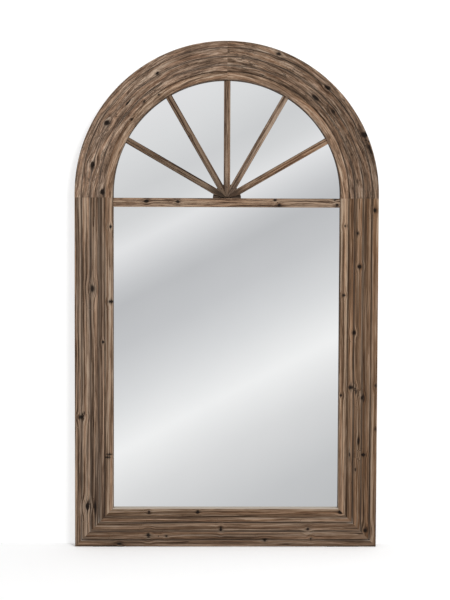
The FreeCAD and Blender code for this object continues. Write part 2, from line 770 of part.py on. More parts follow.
def make_biscuits():
    """The keys of the five joints, each lying across the line where two boards meet."""
    links = []
    spots = [("places.board_middle", "sizes.pad_thickness + sizes.member_width / 2", 3 * QUARTER_TURN / 2),
             ("-places.board_middle", "sizes.pad_thickness + sizes.member_width / 2", QUARTER_TURN / 2),
             ("places.board_middle", "places.joint_height", 0),
             ("-places.board_middle", "places.joint_height", 0),
             ("0", "places.arch_centre + places.board_middle", QUARTER_TURN)]
    for x, height, along in spots:
        key = new_body("biscuit")
        sketch = new_flat_sketch(key, "sizes.biscuit_depth")
        biscuit_outline(sketch, x, height, along, "0")
        pad(key, sketch, "sizes.biscuit_thickness", reverse=True)
        links.append(key)
    group = doc.addObject("Part::Compound", "joint_biscuits")
    group.Label = "joint_biscuits"
    group.Links = links
    return add_node(group)


def steel_plate(label, corners, spots, height, radii=None):
    """A flat plate on the back of the frame, with clearance holes for its screws."""
    body = new_body(label, height)
    sketch = new_flat_sketch(body)
    draw(sketch, corners, radii)
    pad(body, sketch, "sizes.plate_thickness")
    holes = new_flat_sketch(body)
    for x, level in above(spots, height):
        draw_circle(holes, x, level, "places.pilot_radius")
    pocket(body, holes, "sizes.plate_thickness", reverse=True)
    return add_node(body)


def make_plates():
    """Braces on the mitres, and straight plates across the butt joints."""
    outer, inner, end = brace_outer, brace_inner, brace_end
    outline = [(outer, outer), (end, outer), (end, inner), (inner, inner), (inner, end), (outer, end)]
    corners = [(f"places.half_width - {inward}", up) for inward, up in outline]
    brace_spots = brace_side_spots + brace_rail_spots
    brace = steel_plate("left_corner_brace", corners, brace_spots, "sizes.pad_thickness")
    half_long = "sizes.plate_length / 2"
    half_wide = "sizes.plate_width / 2"
    tall = [(f"places.fitting_middle {across} {half_wide}", f"{up}{half_long}")
            for across, up in (("-", "-"), ("+", "-"), ("+", ""), ("-", ""))]
    side = steel_plate("left_joint_plate", tall, joint_spots, "places.joint_height")
    level = "(places.arch_centre + places.fitting_middle)"
    wide = [(f"{across}{half_long}", f"{up}{half_wide}")
            for across, up in (("-", "-"), ("", "-"), ("", ""), ("-", ""))]
    steel_plate("crown_joint_plate", wide, crown_spots, level)
    mirrored(brace, "right_corner_brace")
    mirrored(side, "right_joint_plate")


def make_screws():
    """Pan-headed screws: one pattern, driven through the panel, the plates and the hanger straps."""
    screw = new_body("screw_pattern")
    sketch = new_sketch(screw, "XY_Plane")
    draw(sketch, [
        ("0", "-sizes.screw_head_height"),
        ("sizes.screw_head_radius / 2", "-sizes.screw_head_height"),
        ("sizes.screw_head_radius", "0"),
        ("sizes.screw_radius", "0"),
        ("sizes.screw_radius", "sizes.screw_length - sizes.screw_point"),
        ("0", "sizes.screw_length"),
    ])
    revolve(screw, sketch, FULL_TURN)
    doc.recompute()
    plate_spots = joint_spots + brace_side_spots + brace_rail_spots
    plate_spots = plate_spots + opposite(plate_spots) + crown_spots
    strap_pairs = strap_spots + opposite(strap_spots)
    seats = (("back_panel_screws", panel_spots(), "-sizes.panel_recess"),
             ("plate_screws", plate_spots, "sizes.plate_thickness"),
             ("hanger_screws", strap_pairs, "sizes.strap_thickness"))
    for label, spots, seat in seats:
        copies(label, screw, [(x, seat, height) for x, height in spots])


def make_hanger():
    """A strap with a rolled eye at its top, and the D ring that hangs in it."""
    strap = new_body("left_hanger_strap", "places.hanger_height")
    blade = new_flat_sketch(strap)
    middle = "places.fitting_middle"
    half = "sizes.strap_width / 2"
    foot = "-(sizes.strap_length - sizes.strap_end_rise)"
    draw(blade, [(f"{middle} - {half}", foot), (f"{middle} + {half}", foot), (f"{middle} + {half}", "0"),
                 (f"{middle} - {half}", "0")], {0: bow("sizes.strap_width", "sizes.strap_end_rise")})
    pad(strap, blade, "sizes.strap_thickness")
    eye = new_sketch(strap, "YZ_Plane", middle)
    draw_circle(eye, "-places.ring_offset", "0", "places.ring_offset")
    draw_circle(eye, "-places.ring_offset", "0", "places.eye_radius")
    pad(strap, eye, "sizes.strap_width", centred=True)
    holes = new_flat_sketch(strap)
    for x, height in above(strap_spots, "places.hanger_height"):
        draw_circle(holes, x, height, "places.pilot_radius")
    pocket(strap, holes, "sizes.strap_thickness", reverse=True)
    add_node(strap)

    ring = new_body("left_hanger_ring", "places.hanger_height")
    path = new_flat_sketch(ring, "-places.ring_offset")
    wide = "sizes.ring_half_width"
    inset = "(sizes.ring_half_width - sizes.ring_corner)"
    drop = "-sizes.ring_corner"
    side_foot = "-(sizes.ring_corner + sizes.ring_side)"
    bottom = "-(sizes.ring_corner + sizes.ring_side + sizes.ring_half_width)"
    draw(path, [
        (f"{middle} - {inset}", "0"),
        (f"{middle} - {wide}", drop),
        (f"{middle} - {wide}", side_foot),
        (middle, bottom),
        (f"{middle} + {wide}", side_foot),
        (f"{middle} + {wide}", drop),
        (f"{middle} + {inset}", "0"),
    ], {0: "sizes.ring_corner", 2: wide, 3: wide, 5: "sizes.ring_corner"})
    wire = new_sketch(ring, "YZ_Plane", middle)
    draw_circle(wire, "-places.ring_offset", "0", "sizes.ring_wire_radius")
    sweep = ring.newObject("PartDesign::AdditivePipe", "left_hanger_ring_sweep")
    sweep.Profile = wire
    sweep.Spine = (path, [f"Edge{index}" for index in range(1, path.GeometryCount + 1)])
    add_node(ring)
    mirrored(strap, "right_hanger_strap")
    mirrored(ring, "right_hanger_ring")


def make_bumpers():
    """Rubber stops with a rounded shoulder and a flat face, two on the head and two low on the stiles."""
    stop = new_body("bumper_pattern")
    sketch = new_sketch(stop, "XY_Plane")
    shoulder = "-(sizes.bumper_height - sizes.bumper_shoulder)"
    reach = "(sizes.bumper_top_radius + sizes.bumper_shoulder)"
    face = "-sizes.bumper_height"
    draw(sketch, [("0", "0"), ("0", face), ("sizes.bumper_top_radius", face), (reach, shoulder),
                  ("sizes.bumper_radius", "0")], {2: "sizes.bumper_shoulder"})
    revolve(stop, sketch, FULL_TURN)
    doc.recompute()
    high = f"places.arch_centre + places.fitting_middle * sin({BUMPER_ANGLE} deg)"
    spots = []
    for side in (-1, 1):
        x = f"{side} * places.fitting_middle"
        spots.append((f"{x} * cos({BUMPER_ANGLE} deg)", "0", high))
        spots.append((x, "0", "sizes.bumper_low_height"))
    return copies("wall_bumpers", stop, spots)


def make_foot_pad():
    body = new_body("left_foot_pad")
    sketch = new_sketch(body, "XY_Plane")
    outer = "places.half_width - sizes.pad_inset"
    inner = f"{outer} - sizes.pad_length"
    front = "places.rim_side - sizes.pad_setback"
    draw(sketch, [(inner, "sizes.pad_setback"), (outer, "sizes.pad_setback"), (outer, front), (inner, front)])
    block = pad(body, sketch, "sizes.pad_thickness")
    doc.recompute()
    upright = [f"Edge{index}" for index, edge in enumerate(block.Shape.Edges, start=1)
               if abs(edge.tangentAt(edge.FirstParameter).z) > 1 - NEAR_ZERO]
    rounded = body.newObject("PartDesign::Fillet", "left_foot_pad_corners")
    rounded.Base = (block, upright)
    rounded.setExpression("Radius", "sizes.pad_corner")
    return add_node(body)


def check_pieces():
    """Stops if any object failed or any piece is not a sound solid."""
    for item in doc.Objects:
        if "Invalid" in item.State or "Error" in item.State:
            raise RuntimeError(f"{item.Label} failed: {item.State}")
    for piece in nodes:
        shape = piece.Shape
        if shape.isNull() or not shape.isValid() or not shape.Solids or shape.Volume <= 0:
            raise RuntimeError(f"{piece.Label} is not a sound solid")


mirrored(make_stile(), "right_stile")
make_bottom_rail()
mirrored(make_arch(), "right_arch")
mirrored(make_side_slip(), "right_slip")
make_bottom_slip()
mirrored(make_arch_slip(), "right_arch_slip")
make_transom()
for spoke, spoke_angle in SPOKE_ANGLES.items():
    make_spoke(spoke, spoke_angle)
make_hub()
make_brads()
make_main_mirror()
make_fan_mirror()
make_back_panel()
make_glazing_blocks()
make_biscuits()
make_plates()
make_screws()
make_hanger()
make_bumpers()
mirrored(make_foot_pad(), "right_foot_pad")
doc.recompute()
check_pieces()

os.makedirs("parts", exist_ok=True)
for node in nodes:
    node.Shape.exportStep(f"parts/{node.Label}.step")
    print(f"{node.Label}: {len(node.Shape.Solids)} solid(s), {node.Shape.Volume / 1000:.1f} cm3")
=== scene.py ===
import json
import math

import bmesh
import bpy
import numpy as np
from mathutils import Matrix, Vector, noise


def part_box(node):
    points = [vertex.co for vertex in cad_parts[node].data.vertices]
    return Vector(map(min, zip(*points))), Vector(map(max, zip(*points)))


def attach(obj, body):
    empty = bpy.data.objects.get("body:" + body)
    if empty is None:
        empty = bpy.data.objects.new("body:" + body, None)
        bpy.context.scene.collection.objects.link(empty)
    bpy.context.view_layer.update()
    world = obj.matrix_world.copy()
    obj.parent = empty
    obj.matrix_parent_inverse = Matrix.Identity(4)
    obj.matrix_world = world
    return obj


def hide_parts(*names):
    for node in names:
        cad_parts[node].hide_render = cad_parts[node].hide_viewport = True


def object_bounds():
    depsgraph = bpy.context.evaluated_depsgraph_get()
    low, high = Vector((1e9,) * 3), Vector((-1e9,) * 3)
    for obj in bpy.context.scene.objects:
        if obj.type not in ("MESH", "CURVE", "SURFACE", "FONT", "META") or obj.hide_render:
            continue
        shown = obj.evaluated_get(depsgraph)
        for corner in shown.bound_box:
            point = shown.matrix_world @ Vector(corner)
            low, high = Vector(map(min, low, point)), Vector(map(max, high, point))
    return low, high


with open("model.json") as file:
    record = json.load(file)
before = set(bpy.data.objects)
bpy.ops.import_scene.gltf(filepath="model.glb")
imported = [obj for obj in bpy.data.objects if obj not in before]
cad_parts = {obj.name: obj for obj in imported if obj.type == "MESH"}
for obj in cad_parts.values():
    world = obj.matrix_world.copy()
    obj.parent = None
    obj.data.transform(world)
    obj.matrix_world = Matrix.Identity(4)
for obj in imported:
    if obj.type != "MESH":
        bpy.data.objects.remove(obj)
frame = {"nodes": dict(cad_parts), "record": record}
cad_low, cad_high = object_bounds()

# An arched floor mirror of aged softwood, dressed over its solids. Lengths are metres; the mirror faces -Y.
# A board's section is given by distances in from its outer edge and depths forward from the frame's back.

stile_low, stile_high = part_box("left_stile")
slip_low, slip_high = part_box("left_slip")
transom_low, transom_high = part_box("transom_bar")
hub_low, hub_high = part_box("fan_hub")
HALF_WIDTH = -stile_low.x
BOARD_WIDTH = stile_high.x - stile_low.x
BAND_WIDTH = slip_high.x - stile_low.x
SIGHT = HALF_WIDTH - BAND_WIDTH
BACK = stile_high.y
FRAME_DEPTH = BACK - stile_low.y
FOOT = stile_low.z
JOINT = stile_high.z
ARCH_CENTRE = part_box("left_arch")[1].z - HALF_WIDTH
GLASS_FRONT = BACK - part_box("main_mirror")[0].y
PANEL_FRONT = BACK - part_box("back_panel")[0].y

# The moulding: a rounded rim, three reeds that step down, and the slip round the glass.
RIM_WIDTH = 0.028
RIM_FALL = 0.007
RIM_STEP = 0.0045
REEDS = 3
REED_WIDTH = 0.0345
REED_FALL = 0.002
REED_RISE = 0.0025
GROOVE_WIDTH = 0.003
GROOVE_DEPTH = 0.0025
LEDGE_WIDTH = 0.022
SLIP_RISE = 0.0025
SLIP_FRONT = BACK - slip_low.y - SLIP_RISE

# The bars over the glass.
TRANSOM_HEIGHT = transom_high.z - transom_low.z
TRANSOM_FRONT = BACK - transom_low.y
TRANSOM_RISE = 0.0015
TONGUE_HEIGHT = 0.010
SPOKE_WIDTH = 0.026
SPOKE_FRONT = GLASS_FRONT + 0.012
SPOKE_RISE = 0.002
SPOKE_TIP = 0.006
SPOKE_GAP = 0.0003
SPOKE_STEP = math.radians(30)
SPOKES = ("spoke_far_right", "spoke_right", "spoke_centre", "spoke_left", "spoke_far_left")
HUB_RADIUS = hub_high.x
HUB_FRONT = BACK - hub_low.y
HUB_EASE = 0.0015
HOUSED = 0.002

# How closely the wood is meshed.
FACE_STEP = 0.0026
HIDDEN_STEP = 0.012
ALONG_STEP = 0.007
OVERRUN = 0.002
MERGE_GAP = 1e-6
SHARP_ANGLE = math.radians(36)

# Where the wood is darkened or made paler, and how strong it is: stains, darker grooves, darker spoke tips,
# painted shade along the slips' inner edges, paler arrises and scuffs, and a painted highlight on the
# bottom slip's inner face. Stains are distances in from the outer edge of the left stile.
MARKS = ("dirt_and_shade", "pale", "wear")
DARKENING_REACH = 0.010
EDGE_REACH = 0.006
SCUFF_REACH = 0.020
ARCH_DARKENING = 0.42
# The slips are darker along their inner edges: painted shade for the shaded side of the lip, strongest under
# the head.
SLIP_EDGE_SHADE = 0.6
ARCH_SLIP_EDGE_SHADE = 1.4
# The bottom slip's inner face, which looks up, is painted paler: a painted highlight.
BOTTOM_EDGE_HIGHLIGHT = 1
TIP_DARKENING = 1.4
TIP_DARKENING_REACH = 0.10
LEFT_STAINS = (0.067, 0.090, 0.103, 0.109)
ARRIS_PALE = 0.09

# How far the face is worn away, in fine ridges along the grain and broad sags, and how the grain runs.
WEAR_DEPTH = 0.0007
MEAN_WEAR = 0.35
RIDGE_WEAR = 0.3
RIDGE_SCALE = (5, 130, 60)
SAG_WEAR = 0.35
SAG_SCALE = (2.2, 22, 20)
SAG_SHIFT = (0, 0, 40)
KNOT_REACH = 5.0
NO_KNOT = 12.0
HEAD_CURVE = 0.88
SEED_STEP = 3.7

# Knots, each at a distance right of the centre plane and a height, with its radius across the grain and how
# many times longer it is along the grain.
KNOTS = {
    "left_stile": ((-0.539, 1.046, 0.010, 1.7), (-0.496, 0.831, 0.006, 1.2), (-0.585, 0.529, 0.010, 0.9),
                   (-0.559, 0.167, 0.010, 1.4), (-0.552, 0.185, 0.003, 5.0), (-0.528, 0.160, 0.003, 6.0),
                   (-0.572, 0.545, 0.004, 3.0)),
    "right_stile": ((0.525, 1.272, 0.006, 1.3), (0.533, 1.138, 0.008, 1.0), (0.514, 0.872, 0.007, 1.2),
                    (0.594, 1.364, 0.007, 1.2), (0.504, 0.650, 0.013, 0.8), (0.524, 0.633, 0.004, 3.0),
                    (0.548, 0.608, 0.007, 1.6), (0.603, 0.658, 0.005, 1.6), (0.536, 0.433, 0.004, 2.8),
                    (0.555, 0.377, 0.009, 0.6), (0.500, 0.378, 0.004, 3.5), (0.524, 0.316, 0.005, 2.6),
                    (0.566, 0.068, 0.012, 1.1), (0.603, 0.481, 0.0025, 2.0)),
    "bottom_rail": ((-0.431, 0.013, 0.009, 1.2), (-0.313, 0.049, 0.012, 0.7), (0.333, 0.074, 0.009, 1.0),
                    (0.345, 0.034, 0.007, 0.8), (-0.020, 0.072, 0.010, 0.5), (0.158, 0.027, 0.006, 1.6),
                    (-0.240, 0.044, 0.005, 1.2)),
    "left_arch": ((-0.481, 1.706, 0.010, 1.4), (-0.538, 1.541, 0.009, 1.8), (-0.496, 1.435, 0.012, 1.3),
                  (-0.280, 1.905, 0.006, 1.8), (-0.395, 1.790, 0.004, 5.0), (-0.332, 1.794, 0.005, 1.6)),
    "right_arch": ((0.204, 1.986, 0.008, 1.2), (0.401, 1.853, 0.009, 1.4), (0.352, 1.812, 0.007, 2.6),
                   (0.551, 1.666, 0.012, 1.2), (0.571, 1.609, 0.005, 4.0), (0.425, 1.757, 0.005, 2.0),
                   (0.139, 1.900, 0.003, 4.0)),
    "left_slip": ((-0.466, 1.295, 0.007, 1.0), (-0.464, 0.994, 0.013, 0.5), (-0.470, 0.376, 0.013, 0.25),
                  (-0.476, 0.364, 0.012, 0.25)),
    "right_slip": ((0.476, 1.301, 0.006, 1.0), (0.474, 1.022, 0.008, 0.7), (0.464, 0.617, 0.006, 1.1)),
    "bottom_slip": ((-0.311, 0.141, 0.006, 0.9), (-0.114, 0.142, 0.009, 0.7), (0.466, 0.142, 0.008, 0.9)),
    "left_arch_slip": ((-0.274, 1.822, 0.004, 1.6), (-0.382, 1.725, 0.004, 2.0)),
    "transom_bar": ((-0.323, 1.398, 0.007, 1.1), (-0.197, 1.396, 0.008, 1.0), (0.194, 1.404, 0.006, 1.2),
                    (0.210, 1.384, 0.006, 1.0), (0.434, 1.405, 0.006, 1.2), (0.443, 1.386, 0.007, 1.2)),
    "spoke_left": ((-0.156, 1.654, 0.006, 1.0),),
}

# How light, how warm, how boldly streaked, how short in the grain and how charred each board is.
SHADES = {
    "left_stile": (1.02, 1.09, 1.5, 0.5, 0.6), "right_stile": (0.87, 1.20, 0.78, 0.55, 0.6),
    "bottom_rail": (0.94, 1.12, 0.85, 0.7, 0.6), "left_arch": (1.32, 1.03, 0.76, 2.4, 0.95),
    "right_arch": (0.74, 1.08, 0.80, 2.4, 1.1), "left_slip": (0.99, 1.09, 1.1, 0.55, 0.5),
    "right_slip": (0.98, 1.12, 1.0, 0.55, 0.5), "bottom_slip": (0.80, 1.12, 1.0, 0.7, 0.5),
    "left_arch_slip": (1.14, 1.08, 0.8, 1.6, 0.4), "right_arch_slip": (1.10, 1.08, 0.8, 1.6, 0.4),
    "transom_bar": (1.16, 1.06, 1.7, 1.0, 0.5), "spoke_far_right": (1.05, 1.1, 1.0, 1.0, 0.5),
    "spoke_right": (1.12, 1.0, 1.1, 1.0, 0.5), "spoke_centre": (0.94, 1.05, 1.0, 1.0, 0.5),
    "spoke_left": (0.72, 1.10, 1.1, 1.0, 0.5), "spoke_far_left": (0.60, 1.08, 1.5, 1.0, 0.5),
}

# The shade of any other piece, and the light that the head's boards and slips share at the crown.
EVEN_SHADE = (1.0, 1.0, 1.0, 1.0, 0.5)
CROWN_LIGHT = 1.05


def mesh_with_marks():
    """An empty mesh whose points carry darkening (stains, darker grooves and painted shade), paleness
    (scuffs, arrises and a painted highlight) and wear through every sweep and cut.
    """
    bm = bmesh.new()
    for name in MARKS:
        bm.verts.layers.float.new(name)
    return bm


def darkening_near(place, dark_lines):
    """How dark a place across the section is made: fully on a groove, a stain or the inner edge, none a
    little way off.
    """
    gap = min(abs(place - line) for line in dark_lines)
    return max(0.0, 1 - gap / DARKENING_REACH) ** 2


def outline(corners, dark_lines, pale_corners=()):
    """Points of a closed section; a corner gives its place, depth, rise to the next corner and wear."""
    points = []
    for number, (corner, after) in enumerate(zip(corners, corners[1:] + corners[:1])):
        place, depth, rise, wear = corner
        step_place, step_depth = after[0] - place, after[1] - depth
        spacing = FACE_STEP if wear else HIDDEN_STEP
        steps = max(1, round(math.hypot(step_place, step_depth) / spacing))
        for step in range(steps):
            share = step / steps
            bulge = 4 * rise * share * (1 - share)
            here = place + step_place * share
            dirt_and_shade = darkening_near(here, dark_lines) if wear else 0
            pale = ARRIS_PALE if number in pale_corners and step == 0 else 0
            points.append((here, depth + step_depth * share + bulge, dirt_and_shade, pale, wear))
    return points


def board_outline(dirt_and_shade=1.0, stains=()):
    """The section of a frame board, darkened in its grooves, at its inner edge and along any stains."""
    rim_end = RIM_WIDTH - GROOVE_WIDTH / 2
    corners = [(0, 0, 0, 1), (0, FRAME_DEPTH - RIM_FALL, RIM_FALL / 4, 1), (rim_end, FRAME_DEPTH, 0, 1)]
    for reed in range(REEDS):
        start = RIM_WIDTH + reed * REED_WIDTH
        last = reed == REEDS - 1
        finish = BOARD_WIDTH if last else start + REED_WIDTH - GROOVE_WIDTH / 2
        height = FRAME_DEPTH - RIM_STEP - reed * REED_FALL
        corners.append((start, height - GROOVE_DEPTH, 0, 1))
        corners.append((start + GROOVE_WIDTH / 2, height, REED_RISE, 1))
        corners.append((finish, height, 0, 1))
    corners.append((BOARD_WIDTH, PANEL_FRONT, 0, 0))
    corners.append((BOARD_WIDTH - LEDGE_WIDTH, PANEL_FRONT, 0, 0))
    corners.append((BOARD_WIDTH - LEDGE_WIDTH, 0, 0, 0))
    grooves = [RIM_WIDTH + reed * REED_WIDTH for reed in range(REEDS)]
    points = outline(corners, [*grooves, *stains, BOARD_WIDTH], pale_corners=(2, 4, 5, 7, 8, 10))
    return [(place, depth, dirt_and_shade * darkening, pale, wear) for place, depth, darkening, pale, wear in points]


def slip_outline(edge_shade=0, edge_highlight=0):
    """The section of the slip that holds the glass, with painted shade along its inner edge where asked, and
    a painted highlight on its inner face where asked.
    """
    corners = [(BOARD_WIDTH, GLASS_FRONT, 0, 0), (BOARD_WIDTH, SLIP_FRONT, SLIP_RISE, 1),
               (BAND_WIDTH, SLIP_FRONT, 0, 1), (BAND_WIDTH, GLASS_FRONT, 0, 0)]
    points = []
    for place, depth, dirt_and_shade, pale, wear in outline(corners, [BOARD_WIDTH]):
        # A painted shade darkens the slip along its inner edge.
        near_edge = max(0.0, 1 - (BAND_WIDTH - place) / EDGE_REACH)
        # On the bottom slip the inner face gets a painted highlight.
        pale_and_highlight = edge_highlight if place == BAND_WIDTH else pale
        points.append((place, depth, max(dirt_and_shade, edge_shade * near_edge), pale_and_highlight, wear))
    return points


def transom_outline():
    """The section of the transom, with the tongue that parts the panes; places are heights in the bar."""
    shoulder = TRANSOM_FRONT - TRANSOM_RISE
    tongue = (TRANSOM_HEIGHT - TONGUE_HEIGHT) / 2
    corners = [(0, GLASS_FRONT, 0, 1), (0, shoulder, TRANSOM_RISE, 1), (TRANSOM_HEIGHT, shoulder, 0, 1),
               (TRANSOM_HEIGHT, GLASS_FRONT, 0, 0), (TRANSOM_HEIGHT - tongue, GLASS_FRONT, 0, 0),
               (TRANSOM_HEIGHT - tongue, PANEL_FRONT, 0, 0), (tongue, PANEL_FRONT, 0, 0),
               (tongue, GLASS_FRONT, 0, 0)]
    return outline(corners, [TRANSOM_HEIGHT], pale_corners=(1,))


def spoke_outline():
    """The section of a spoke; places are distances across it."""
    half = SPOKE_WIDTH / 2
    shoulder = SPOKE_FRONT - SPOKE_RISE
    corners = [(-half, GLASS_FRONT, 0, 1), (-half, shoulder, SPOKE_RISE, 1), (half, shoulder, 0, 1),
               (half, GLASS_FRONT, 0, 0)]
    return outline(corners, [half])


def trace(bm, points, put):
    """Draws a closed section; put turns a place and a depth into a point in space."""
    layers = [bm.verts.layers.float[name] for name in MARKS]
    verts = []
    for place, depth, *marks in points:
        vert = bm.verts.new(put(place, depth))
        for layer, value in zip(layers, marks):
            vert[layer] = value
        verts.append(vert)
    return [bm.edges.new(pair) for pair in zip(verts, verts[1:] + verts[:1])]


def sweep(bm, edges, steps, step=(0, 0, 0), angle=0, centre=(0, 0, 0)):
    """Carries a section straight on, or round the head's axis, and gives back its last ring."""
    verts = list(dict.fromkeys(vert for edge in edges for vert in edge.verts))
    made = bmesh.ops.spin(bm, geom=verts + edges, cent=centre, axis=(0, 1, 0), dvec=step, angle=angle,
                          steps=steps, use_merge=False, use_duplicate=False)
    return [item for item in made["geom_last"] if isinstance(item, bmesh.types.BMEdge)]


def trim(bm, point, normal):
    """Cuts off what lies past a plane."""
    everything = bm.verts[:] + bm.edges[:] + bm.faces[:]
    bmesh.ops.bisect_plane(bm, geom=everything, dist=MERGE_GAP, plane_co=point, plane_no=normal,
                           clear_outer=True)


def close(bm):
    """Closes the open ends and turns every face outwards."""
    bmesh.ops.remove_doubles(bm, verts=bm.verts, dist=MERGE_GAP)
    bmesh.ops.holes_fill(bm, edges=[edge for edge in bm.edges if edge.is_boundary], sides=0)
    bmesh.ops.recalc_face_normals(bm, faces=bm.faces)


def read(source, key, width):
    """One property of every point of a mesh, as rows."""
    values = np.empty(len(source) * width)
    source.foreach_get(key, values)
    return values.reshape(-1, width) if width > 1 else values


def mark(mesh, name, kind, key, values):
    """Keeps a value of every point with the mesh, for the materials to read."""
    layer = mesh.attributes.new(name, kind, "POINT")
    layer.data.foreach_set(key, np.ascontiguousarray(values, dtype=np.float32).ravel())


def straight_grain(points, along):
    """How far each point lies along and across a board sawn in one direction."""
    across = Vector((0, 1, 0)).cross(along)
    return points @ np.array(along), points @ np.array(across)


def head_grain(points, along):
    """The grain of a head board, which leans towards the curve."""
    run, straight = straight_grain(points, along)
    middle_run, middle = straight_grain(np.array([[0.0, 0.0, ARCH_CENTRE]]), along)
    radius = np.hypot(run - middle_run, straight - middle)
    bearing = np.arctan2(run - middle_run, np.abs(straight - middle))
    outward = np.sign(straight - middle)
    across = (1 - HEAD_CURVE) * (straight - middle) + HEAD_CURVE * radius * outward
    return (1 - HEAD_CURVE) * (run - middle_run) + HEAD_CURVE * bearing * HALF_WIDTH, across


def nearest_knot(node, along, grain_of, run, across):
    """Where each point lies from its nearest knot, in knot sizes, and how far that knot parts the grain."""
    knot = np.full((len(run), 3), (NO_KNOT, NO_KNOT, 0.0))
    nearest = np.full(len(run), KNOT_REACH)
    for x, z, radius, stretch in KNOTS.get(node, ()):
        centre_run, centre_across = grain_of(np.array([[x, 0.0, z]]), along)
        off_run = (run - centre_run) / (radius * stretch)
        off_across = (across - centre_across) / radius
        reach = np.hypot(off_run, off_across)
        closer = reach < nearest
        nearest[closer] = reach[closer]
        swell = np.full(len(run), radius * min(stretch, 1))
        knot[closer] = np.column_stack((off_run, off_across, swell))[closer]
    return knot


def worn_away(grain, wear):
    """How far each point of a worn face has gone down."""
    lowered = np.zeros(len(grain))
    for index in np.nonzero(wear > 0)[0]:
        ridge = noise.noise(Vector(grain[index] * RIDGE_SCALE))
        sag = noise.noise(Vector(grain[index] * SAG_SCALE + SAG_SHIFT))
        lowered[index] = MEAN_WEAR + RIDGE_WEAR * ridge + SAG_WEAR * sag
    return np.clip(lowered, 0, 1) * wear * WEAR_DEPTH


def age(mesh, node, along, grain_of, seed):
    """Marks the grain, knots, scuffs and shade of a board, and wears its face down a little."""
    points = read(mesh.vertices, "co", 3)
    normals = read(mesh.vertex_normals, "vector", 3)
    wear = read(mesh.attributes["wear"].data, "value", 1)
    run, across = grain_of(points, along)
    light, warm, bold, short, char = SHADES.get(node, EVEN_SHADE)
    if grain_of is head_grain:
        light = CROWN_LIGHT + (light - CROWN_LIGHT) * np.abs(points[:, 0]) / HALF_WIDTH
    grain = np.column_stack((run * short + seed * SEED_STEP, across, points[:, 1]))
    lowered = worn_away(grain, wear)
    mesh.vertices.foreach_set("co", (points - normals * lowered[:, None]).ravel())
    off_mitre = np.abs((points[:, 2] - FOOT) - (HALF_WIDTH - np.abs(points[:, 0]))) / math.sqrt(2)
    mark(mesh, "grain", "FLOAT_VECTOR", "vector", grain)
    mark(mesh, "knot", "FLOAT_VECTOR", "vector", nearest_knot(node, along, grain_of, run, across))
    mark(mesh, "scuff", "FLOAT", "value", np.clip(1 - off_mitre / SCUFF_REACH, 0, 1))
    for name, value in (("light", light), ("warm", warm), ("bold", bold), ("char", char)):
        mark(mesh, name, "FLOAT", "value", np.full(len(points), value))


def timber(bm, node, along, seed, slot, grain_of=straight_grain):
    """Finishes a wooden piece that stands for its solid."""
    mesh = bpy.data.meshes.new(f"aged_{node}")
    bm.to_mesh(mesh)
    bm.free()
    age(mesh, node, Vector(along).normalized(), grain_of, seed)
    mesh.shade_smooth()
    mesh.set_sharp_from_angle(angle=SHARP_ANGLE)
    mesh.materials.append(FINISHES[slot])
    piece = bpy.data.objects.new(mesh.name, mesh)
    bpy.context.scene.collection.objects.link(piece)
    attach(piece, "frame")
    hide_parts(node)


def side_name(side, piece):
    """The name of a piece that both sides have."""
    return f"left_{piece}" if side < 0 else f"right_{piece}"


def mitre_corner(side):
    """The outer corner of the foot, where a stile meets the bottom rail."""
    return Vector((side * HALF_WIDTH, 0, FOOT))


def upright_piece(points, side):
    """A stile or a side slip: straight up to the head's joint, mitred at its foot."""
    bm = mesh_with_marks()
    start = FOOT - OVERRUN
    edges = trace(bm, points, lambda place, depth: Vector((side * (HALF_WIDTH - place), BACK - depth, start)))
    steps = round((JOINT - start) / ALONG_STEP)
    sweep(bm, edges, steps, step=(0, 0, (JOINT - start) / steps))
    trim(bm, mitre_corner(side), (-side, 0, -1))
    close(bm)
    return bm


def lying_piece(points):
    """The bottom rail or the bottom slip, mitred at both ends."""
    bm = mesh_with_marks()
    start = HALF_WIDTH + OVERRUN
    edges = trace(bm, points, lambda place, depth: Vector((-start, BACK - depth, FOOT + place)))
    steps = round(2 * start / ALONG_STEP)
    sweep(bm, edges, steps, step=(2 * start / steps, 0, 0))
    for side in (-1, 1):
        trim(bm, mitre_corner(side), (side, 0, 1))
    close(bm)
    return bm


def arched_piece(points, side):
    """A quarter of the head: a short straight foot on the joint, then round to the crown."""
    bm = mesh_with_marks()
    edges = trace(bm, points, lambda place, depth: Vector((side * (HALF_WIDTH - place), BACK - depth, JOINT)))
    stilt = ARCH_CENTRE - JOINT
    foot_steps = round(stilt / ALONG_STEP)
    edges = sweep(bm, edges, foot_steps, step=(0, 0, stilt / foot_steps))
    quarter = math.pi / 2
    turn_steps = round(quarter * (HALF_WIDTH - BAND_WIDTH / 2) / ALONG_STEP)
    sweep(bm, edges, turn_steps, angle=-side * quarter, centre=(0, 0, ARCH_CENTRE))
    close(bm)
    return bm


def transom_piece():
    """The bar under the fan, let into the side slips."""
    bm = mesh_with_marks()
    start = SIGHT + HOUSED
    edges = trace(bm, transom_outline(),
                  lambda place, depth: Vector((-start, BACK - depth, transom_low.z + place)))
    steps = round(2 * start / ALONG_STEP)
    sweep(bm, edges, steps, step=(2 * start / steps, 0, 0))
    close(bm)
    return bm


